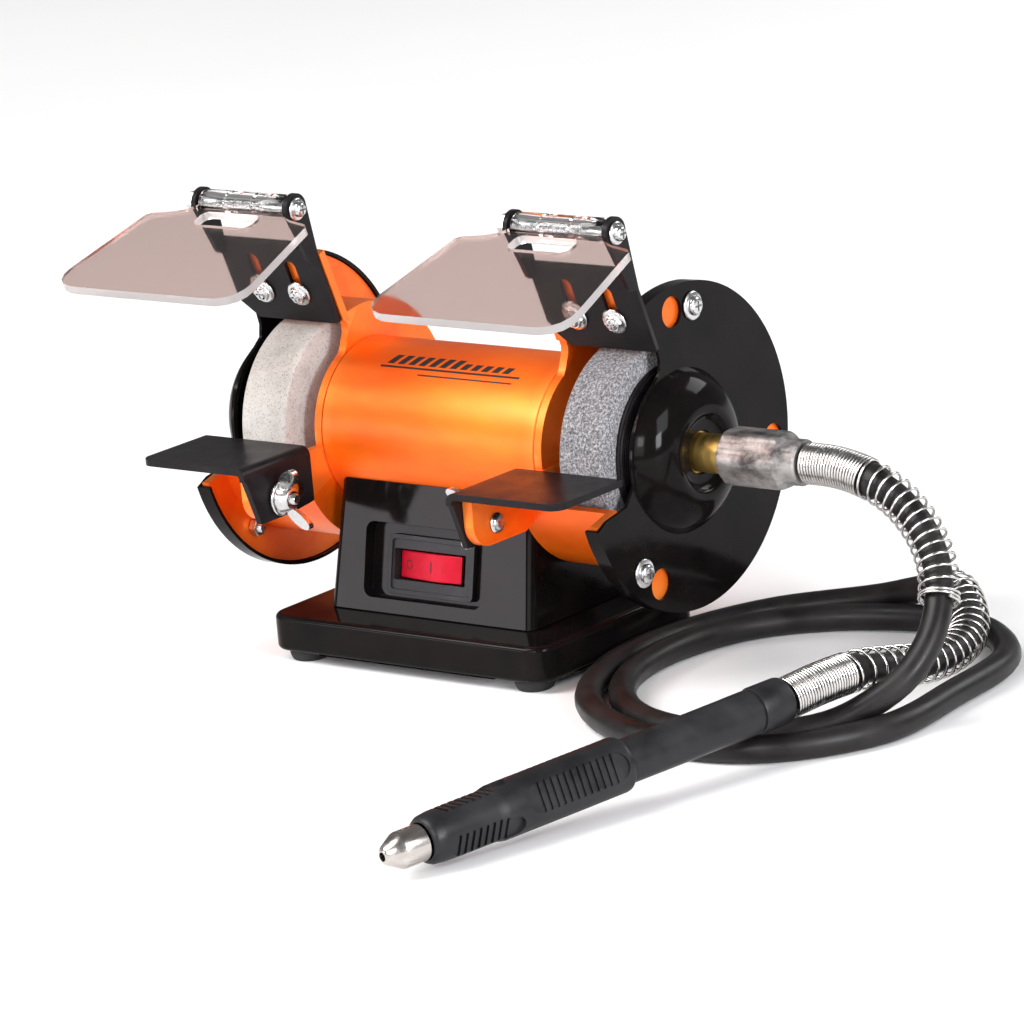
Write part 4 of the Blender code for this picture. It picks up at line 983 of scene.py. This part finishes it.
def build_deflector(m, name, side, bolt):
    start, end = sorted(side * distance for distance in DEFLECTOR_SPAN)
    near, far = 0.3, 1.8
    outline = [(start + 7.0, 0.0), (end - 0.8, 0.0), (end, 0.8),
               (end, DEFLECTOR_HEIGHT), (start, DEFLECTOR_HEIGHT), (start, 7.0)]
    plate = object_from(extrude(outline, near, far, leaning_space), "spark_deflector_" + name,
                        m["satin"])
    pivot_height, pivot_out = pivot_on_plane()
    for tab_start in (start, end - TAB_THICK):
        tab = (arc((pivot_height, pivot_out), TAB_RADIUS, -90.0, 90.0, 28)
               + [(27.0, near + 4.4), (25.4, near + 3.2), (24.6, near)])
        unite(plate, extrude(tab, tab_start, tab_start + TAB_THICK,
                             lambda height, out, across: leaning_space(across, height, out)))
        cut(plate, rod(tab_start - 4.0, tab_start + 4.0, 2.3, 32, PIVOT))
    for across in DEFLECTOR_SCREWS:
        slot_shape = slot_outline(side * across, DEFLECTOR_SCREW_HEIGHT - 4.4, 25.0, 2.4)
        cut(plate, extrude(slot_shape, near - 2.0, far + 2.0, leaning_space))
    settle(plate, "satin_black_paint", "deflector_" + name, bevel=0.3, angle=50.0, segments=3)
    outward = leaning_space(0.0, 0.0, 1.0) - leaning_space(0.0, 0.0, 0.0)
    for place, across in zip(("inner", "outer"), DEFLECTOR_SCREWS):
        seat = leaning_space(side * across, DEFLECTOR_SCREW_HEIGHT, far + 0.3)
        put_screw(bolt, "plate_bolt_" + place + "_" + name, seat, outward,
                  "deflector_screw_" + place + "_" + name)


def visor_space(across, forward, up):
    y = PIVOT[0] - forward * math.cos(VISOR_DROOP) - up * math.sin(VISOR_DROOP)
    z = PIVOT[1] - forward * math.sin(VISOR_DROOP) + up * math.cos(VISOR_DROOP)
    return Vector((across, y, z))


def visor_forward(place):
    """How far forward along the visor a point measured from its pivot lies."""
    return -place.y * math.cos(VISOR_DROOP) - place.z * math.sin(VISOR_DROOP)


def visor_outline(middle):
    half = [(19.0, 4.0), (22.2, 7.6), (26.5, 9.6), (35.0, 11.6), (36.6, 13.2), (41.4, 50.6),
            (41.1, 54.6), (39.6, 58.0), (36.8, 60.4), (33.0, 61.8), (28.0, 62.0)]
    return [(middle + u, v) for u, v in half] + [(middle - u, v) for u, v in reversed(half)]


def build_visor(m, name, side, bolt):
    middle = side * VISOR_MIDDLE
    pivot = (middle, *PIVOT)
    plate = object_from(extrude(visor_outline(middle), -1.5, 1.5, visor_space),
                        "eye_shield_" + name, m["clear"], pivot)
    barrel = [(-19.2, 0.0), (-19.2, 4.5), (-18.9, 4.85), (-7.6, 4.85), (-7.2, 4.3), (-5.4, 4.3),
              (-5.0, 4.85), (5.0, 4.85), (5.4, 4.3), (7.2, 4.3), (7.6, 4.85), (18.9, 4.85),
              (19.2, 4.5), (19.2, 0.0)]
    unite(plate, turned([(middle + x, radius) for x, radius in barrel], 64, PIVOT), pivot)
    window = rounded_rectangle(13.0, 4.4, 3.0, 8, (middle, 12.4))
    cut(plate, extrude(window, -5.0, 5.0, visor_space), pivot)
    cut(plate, rod(middle - 30.0, middle + 30.0, 2.4, 40, PIVOT), pivot)
    plate.data.materials.append(m["clear_edge"])
    plate.data.materials.append(m["clear_hinge"])
    upward = visor_space(0.0, 0.0, 1.0) - visor_space(0.0, 0.0, 0.0)
    for face in plate.data.polygons:
        if visor_forward(face.center / MM) < 5.2:
            face.material_index = 2
        elif abs(face.normal.dot(upward)) < 0.4:
            face.material_index = 1
    settle(plate, "clear_plastic", "visor_" + name, bevel=0.55, angle=50.0, segments=4)

    put_screw(bolt, "hinge_bolt_" + name, (middle + 22.0, *PIVOT), (1.0, 0.0, 0.0),
              "visor_bolt_" + name)
    nut = [(middle - 25.4, 2.0), (middle - 25.4, 3.5), (middle - 25.1, 3.8),
           (middle - 22.5, 3.8), (middle - 22.2, 3.5), (middle - 22.2, 2.0)]
    bm = turned(nut, 48, PIVOT, hexagon_beyond(3.0))
    settle(object_from(bm, "hinge_nut_" + name, m["zinc"], pivot), "zinc_plated_steel",
           "visor_nut_" + name)


# ---------------------------------------------------------------- tool rests

def build_tool_rest(m, name, side):
    """An angle plate with a bend radius, its rear corner and leg trimmed to shape."""
    origin = (side * EAR[0], *REST_BOLT)
    start, end = REST_SPAN
    bend = 3.4
    outer = arc((start + bend, -bend), bend, 180.0, 90.0, 10)
    inner = arc((start + bend, -bend), bend - REST_THICK, 90.0, 180.0, 10)
    section = [(start, REST_LEG_END)] + outer + [(end, 0.0), (end, -REST_THICK)] + inner
    section += [(start + REST_THICK, REST_LEG_END)]
    outline = [(side * x, z) for x, z in section]
    rest = object_from(extrude(outline, REST_FRONT, REST_BACK, lambda x, z, y: Vector((x, y, z))),
                       "work_rest_" + name, m["satin"], origin)
    front = [(-80.0, -4.6), (-74.0, -4.6), (-68.4, -19.6), (-67.0, -25.0), (-80.0, -25.0)]
    rear = [(-48.6, -25.0), (-48.6, -20.6), (-42.4, -19.9), (-30.0, -18.0), (-30.0, -25.0)]
    for trimming in (front, rear):
        cut(rest, prism_x(trimming, side * (start - 3.0), side * (start + 5.0)), origin)
    corner = 5.0
    far, near_edge = side * end, REST_FRONT
    middle = (far - side * corner, near_edge + corner)
    turn = (270.0, 360.0) if side > 0 else (270.0, 180.0)
    shape = [(far + side * 3.0, near_edge - 3.0), (far - side * corner, near_edge - 3.0)]
    shape += arc(middle, corner, turn[0], turn[1], 12) + [(far + side * 3.0, near_edge + corner)]
    cut(rest, prism_z(shape, -8.0, 4.0), origin)
    hole = (arc((REST_SLOT[1], REST_BOLT[1]), REST_SLOT_RADIUS, -90.0, 90.0, 16)
            + arc((REST_SLOT[0], REST_BOLT[1]), REST_SLOT_RADIUS, 90.0, 270.0, 16))
    cut(rest, prism_x(hole, side * (start - 5.0), side * (start + 5.0)), origin)
    settle(rest, "satin_black_paint", "tool_rest_" + name, bevel=0.35, angle=45.0, segments=3)


def build_rest_fastener(m, name, side):
    head = EAR[1] + 0.3
    bolt = [(36.5, 0.0), (36.5, 1.5)] + thread(36.8, 44.0, 2.0)
    bolt += [(head, 2.0), (head, 3.5), (head + 0.3, 3.6), (head + 0.9, 3.3), (head + 1.5, 2.6),
             (head + 1.9, 1.5), (head + 2.0, 0.0)]
    settle(object_from(turned(mirrored(bolt, side), 40, REST_BOLT), "rest_bolt_" + name,
                       m["zinc"]), "zinc_plated_steel", "carriage_bolt_" + name)
    hub = [(38.2, 2.3), (38.2, 3.5), (38.5, 3.8), (41.6, 4.6), (42.4, 4.9), (42.4, 5.9),
           (42.7, 6.2), (43.6, 6.2), (43.9, 5.9), (43.9, 2.3)]
    origin = (side * 41.0, *REST_BOLT)
    nut = object_from(turned(mirrored(hub, side), 64, REST_BOLT), "wing_grip_" + name,
                      m["zinc"], origin)
    for direction in (1, -1):
        wing = smooth_outline([(3.0, 42.0), (4.2, 38.6), (7.6, 34.9), (10.4, 33.6), (11.7, 34.6),
                               (11.7, 36.2), (9.8, 39.4), (5.6, 42.2)])
        bm = extrude(wing, -0.65, 0.65, lambda out, x, across: Vector((
            side * x,
            REST_BOLT[0] + across * (1.0 + out / 12.0) - direction * out * math.sin(WING_SWEEP),
            REST_BOLT[1] + direction * out * math.cos(WING_SWEEP))))
        unite(nut, bm, origin)
    settle(nut, "zinc_plated_steel", "wing_nut_" + name, bevel=0.25, angle=50.0, segments=3)


def smooth_outline(points):
    """A closed outline passed through a smooth curve."""
    steps = 4
    ring = [points[-1]] + list(points) + list(points[:2])
    path = smooth_path([(a, b, 0.0) for a, b in ring], 1.0, steps)
    return [(place.x, place.y) for place in path[steps:-2 * steps]]


# ---------------------------------------------------------------- flexible shaft

def smooth_path(route, spacing, fixed_steps=None):
    """Points about spacing apart on the smooth curve through the route's points."""
    points = [Vector(place) for place in route]
    spans = [(second - first).length for first, second in zip(points, points[1:])]
    slopes = [(points[index + 1] - points[index]) / span for index, span in enumerate(spans)]
    tangents = [slopes[0]]
    for index in range(1, len(spans)):
        before, after = spans[index - 1], spans[index]
        tangents.append((slopes[index - 1] * after + slopes[index] * before) / (before + after))
    tangents.append(slopes[-1])
    samples = []
    for index, span in enumerate(spans):
        steps = fixed_steps or max(1, round(span / spacing))
        for step in range(steps):
            t = step / steps
            samples.append(points[index] * (1.0 + 2.0 * t) * (1.0 - t) ** 2
                           + points[index + 1] * t * t * (3.0 - 2.0 * t)
                           + tangents[index] * span * t * (1.0 - t) ** 2
                           - tangents[index + 1] * span * t * t * (1.0 - t))
    samples.append(points[-1])
    return samples


def lengths_along(points):
    lengths = [0.0]
    for first, second in zip(points, points[1:]):
        lengths.append(lengths[-1] + (second - first).length)
    return lengths


def point_at(points, lengths, distance):
    for index in range(len(points) - 1):
        if lengths[index + 1] >= distance:
            share = (distance - lengths[index]) / (lengths[index + 1] - lengths[index])
            return points[index].lerp(points[index + 1], share)
    return points[-1].copy()


def curve_from(name, points, radius, resolution, finish):
    curve = bpy.data.curves.new(name, "CURVE")
    curve.dimensions = "3D"
    spline = curve.splines.new("POLY")
    spline.points.add(len(points) - 1)
    for vertex, place in zip(spline.points, points):
        vertex.co = (*(place * MM), 1.0)
    curve.bevel_depth = radius * MM
    curve.bevel_resolution = resolution
    curve.use_fill_caps = True
    curve.materials.append(finish)
    made = bpy.data.objects.new(name, curve)
    show(made)
    return made


def coil(name, path, lengths, sections, finish):
    """Wire wound round a path; sections are (start, end, turns)."""
    across = Vector((0.0, 0.0, 1.0))
    winding = []
    turned_by = 0.0
    for start, end, turns in sections:
        steps = max(8, int(turns * 20))
        for step in range(steps + 1):
            share = step / steps
            distance = start + (end - start) * share
            here = point_at(path, lengths, distance)
            ahead = point_at(path, lengths, min(distance + 1.5, lengths[-1]))
            behind = point_at(path, lengths, max(distance - 1.5, 0.0))
            forward = (ahead - behind).normalized()
            across = (across - forward * across.dot(forward)).normalized()
            other = forward.cross(across)
            angle = turned_by + math.tau * turns * share
            winding.append(here + (across * math.cos(angle) + other * math.sin(angle))
                           * SPRING_RADIUS)
        turned_by += math.tau * turns
    return curve_from(name, winding, WIRE_RADIUS, 3, finish)


def route_in_space():
    """The flexible shaft's route in the finished part's own millimetres."""
    return [Vector((x, y, height + FLOOR)) for x, y, height in HOSE_ROUTE]


def build_flexible_shaft(m):
    path = smooth_path(route_in_space(), 1.0)
    lengths = lengths_along(path)
    total = lengths[-1]
    count = round(total / 4.0)
    hose = curve_from("flexible_hose", [point_at(path, lengths, total * step / count)
                                        for step in range(count + 1)],
                      HOSE_RADIUS, 7, m["rubber"])
    attach(hose, "black_rubber", "hose")
    guard_end = route_length(7)
    tail_guard = route_length(len(HOSE_ROUTE) - 8)
    at_machine = coil("machine_spring", path, lengths, [
        (1.0, 25.0, 21.0), (25.0, 30.0, 1.0), (30.0, guard_end - 3.0, 12.0),
        (guard_end - 3.0, guard_end - 0.8, 2.0)], m["spring"])
    at_handpiece = coil("handpiece_spring", path, lengths, [
        (tail_guard + 0.8, tail_guard + 3.0, 2.0), (tail_guard + 3.0, total - 33.0, 20.0),
        (total - 33.0, total - 27.0, 1.0), (total - 27.0, total - 1.0, 23.0)], m["spring"])
    attach(at_machine, "spring_steel", "spring_guard_machine")
    attach(at_handpiece, "spring_steel", "spring_guard_handpiece")
    sleeves = []
    for name, start, end in (("machine_sleeve", 24.5, 29.5),
                             ("handpiece_sleeve", total - 32.5, total - 27.0)):
        sleeve = curve_from(name, [point_at(path, lengths, start + (end - start) * step / 4.0)
                                   for step in range(5)], SLEEVE_RADIUS, 7, m["rubber"])
        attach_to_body(sleeve, "frame")
        sleeves.append(sleeve)
    return hose, [at_machine, at_handpiece, *sleeves], total * MM


def route_length(points):
    """Length of the route's first points, in millimetres, up to and with that many."""
    return lengths_along(smooth_path(route_in_space()[:points], 1.0))[-1]


def build_drive_end(m):
    bore = 4.6
    adapter = [(92.6, bore), (92.6, 8.7), (92.9, 9.0), (94.1, 9.0), (94.4, 8.7), (94.4, 6.7),
               (101.0, 6.7), (107.5, 6.7), (107.9, 6.3), (107.9, bore)]
    settle(object_from(turned(adapter, 72), "brass_adapter", m["brass"]), "brass", "drive_adapter")
    nut = [(108.2, 3.6), (108.2, 8.4), (109.0, 9.2), (110.2, 9.35), (130.2, 9.35), (131.4, 8.9),
           (133.4, 8.1), (134.4, 7.9), (138.2, 7.9), (139.0, 7.4), (139.0, 3.6)]

    def across_flats(angle, radius):
        """Six flats with rounded corners, on the thick part only."""
        return radius if radius < 8.2 else min(hexagon(angle, 9.2), radius * 1.09)

    coupling = object_from(turned(nut, 120, shape=across_flats), "coupling_body", m["aluminium"])
    settle(coupling, "aluminium", "coupling_nut", bevel=0.2, angle=25.0)


def build_handpiece(m):
    """Turned pieces along the handpiece's axis, from its tail to its tip."""
    start = HANDPIECE_TAIL * MM
    direction = (HANDPIECE_TIP - HANDPIECE_TAIL).normalized()
    body = [(0.0, 5.0), (0.0, 7.2), (0.5, 7.7), (1.2, 7.9), (11.6, 7.9), (12.4, 7.6), (12.6, 7.0),
            (13.3, 7.0), (13.5, 7.5), (30.0, 7.4), (66.6, 7.3), (67.0, 6.9), (67.0, 5.9),
            (118.0, 5.9), (118.0, 5.0)]
    tail = object_from(turned(body, 96), "handle_tail", m["plastic"])
    grip_profile = [(67.3, 6.2), (67.3, 8.4), (68.0, 9.0), (69.0, 9.2), (90.0, 9.25),
                    (117.0, 9.2), (118.4, 9.0), (119.8, 8.6), (121.4, 8.5), (134.0, 8.5),
                    (141.0, 8.3), (144.2, 7.9), (145.4, 7.3), (145.8, 6.7), (145.8, 6.2)]
    grip = object_from(turned(grip_profile, 128), "handle_grip", m["plastic"])
    for turn in GRIP_WINDOWS:
        rib_window(grip, turn, (69.8, 110.0), (75.5, 104.5), 8.1, 4.4)
        rib_window(grip, turn - 42.0, (112.0, 139.5), (118.5, 137.0), 7.75, 3.6)
    nose = [(118.6, 0.0), (118.6, 3.6), (146.2, 3.6), (146.2, 5.6), (146.6, 6.0), (154.4, 6.0),
            (155.4, 5.75), (160.0, 3.2), (160.6, 2.5), (160.9, 1.9), (161.0, 1.5), (150.0, 1.5),
            (150.0, 0.0)]
    tip = object_from(turned(nose, 96), "collet_tip", m["steel"])
    for piece, name, slot_name, bevel in ((tail, "handpiece_body", "black_plastic", 0.0),
                                          (grip, "handpiece_grip", "black_plastic", 0.15),
                                          (tip, "collet_nose", "machined_steel", 0.0)):
        along_axis(piece, start, direction)
        settle(piece, slot_name, name, bevel=bevel)
    return tail, grip


def rib_window(grip, turn, pad, ribs, depth, half_width):
    """A flat pad with round ends sunk into the grip, and grooves across its middle."""
    angle = math.radians(turn)
    cos, sin = math.cos(angle), math.sin(angle)

    def on_grip(x, across, out):
        return Vector((x, out * cos - across * sin, out * sin + across * cos))

    middle, half = (pad[0] + pad[1]) / 2.0, (pad[1] - pad[0]) / 2.0
    outline = rounded_rectangle(half, half_width, half_width * 0.95, 10, (middle, 0.0))
    cut(grip, extrude(outline, depth, 12.0, on_grip))
    count = round((ribs[1] - ribs[0]) / 2.6)
    pitch = (ribs[1] - ribs[0]) / count
    grooves = []
    for index in range(count + 1):
        at = ribs[0] + pitch * index
        shape = [(at - 0.55, -half_width - 0.5), (at + 0.55, -half_width - 0.5),
                 (at + 0.55, half_width + 0.5), (at - 0.55, half_width + 0.5)]
        grooves.append(extrude(shape, depth - 0.8, 12.0, on_grip))
    cut(grip, merged(*grooves))


# ---------------------------------------------------------------- floor and light

def build_studio():
    bm = bmesh.new()
    half = 6000.0
    bottom = FLOOR - SPINDLE.z / MM
    bm.faces.new([bm.verts.new((x, y, bottom)) for x, y in
                  ((-half, -half), (half, -half), (half, half), (-half, half))])
    pale = clouded("pale_floor", (0.86, 0.86, 0.86), 0.75, (2.0, 4.0),
                   [(0.3, (0.84, 0.84, 0.84)), (0.7, (0.88, 0.88, 0.88))])
    object_from(bm, "studio_floor", pale)
    world = bpy.data.worlds.new("studio")
    world.use_nodes = True
    background = world.node_tree.nodes["Background"]
    background.inputs["Color"].default_value = (1.0, 1.0, 1.0, 1.0)
    background.inputs["Strength"].default_value = WORLD_LIGHT
    bpy.context.scene.world = world
    sun = bpy.data.lights.new("daylight", "SUN")
    sun.energy = SUN_LIGHT
    sun.angle = math.radians(30.0)
    overhead = bpy.data.objects.new("daylight", sun)
    overhead.rotation_euler = (math.radians(28.0), math.radians(-18.0), 0.0)
    show(overhead)
    bpy.context.scene.view_settings.view_transform = "Standard"
    for name, place, size, power, tint in STUDIO_LIGHTS:
        data = bpy.data.lights.new(name, "AREA")
        data.shape = "RECTANGLE"
        data.size, data.size_y = size
        data.energy = power
        data.color = tint
        lamp = bpy.data.objects.new(name, data)
        position = Vector(place)
        aim = (SPINDLE - position).to_track_quat("-Z", "Y").to_matrix().to_4x4()
        lamp.matrix_world = Matrix.Translation(position) @ aim
        show(lamp)


def paint_hidden(m):
    """The CAD's own motor core, bearings and spindle keep their shapes."""
    for node_name, finish in (("stator", "core"), ("rotor", "core"), ("bearing_left", "steel"),
                              ("bearing_right", "steel"), ("spindle", "steel")):
        hidden = frame["nodes"][node_name]
        hidden.data.materials.clear()
        hidden.data.materials.append(m[finish])


def main():
    make_camera()
    m = make_materials()
    hose, on_hose, hose_length = build_flexible_shaft(m)
    build_drive_end(m)
    tail, grip = build_handpiece(m)
    build_base(m)
    build_pedestal(m)
    build_switch(m)
    build_cord_gland(m)
    build_motor(m)
    build_stripes(m)
    build_wheels(m)
    cover_bolt = make_screw(m, "cover_bolt", *COVER_BOLT, hex_part(-8.0, -5.1, 2.9))
    plate_bolt = make_screw(m, "plate_bolt", *PLATE_BOLT, hex_part(0.6, 2.1, 2.9))
    hinge_bolt = make_screw(m, "hinge_bolt", *HINGE_BOLT)
    for name, side in SIDES:
        build_end_bell(m, name, side)
        build_cover(m, name, side, cover_bolt)
        build_deflector(m, name, side, plate_bolt)
        build_visor(m, name, side, hinge_bolt)
        build_tool_rest(m, name, side)
        build_rest_fastener(m, name, side)
    paint_hidden(m)
    build_studio()


main()
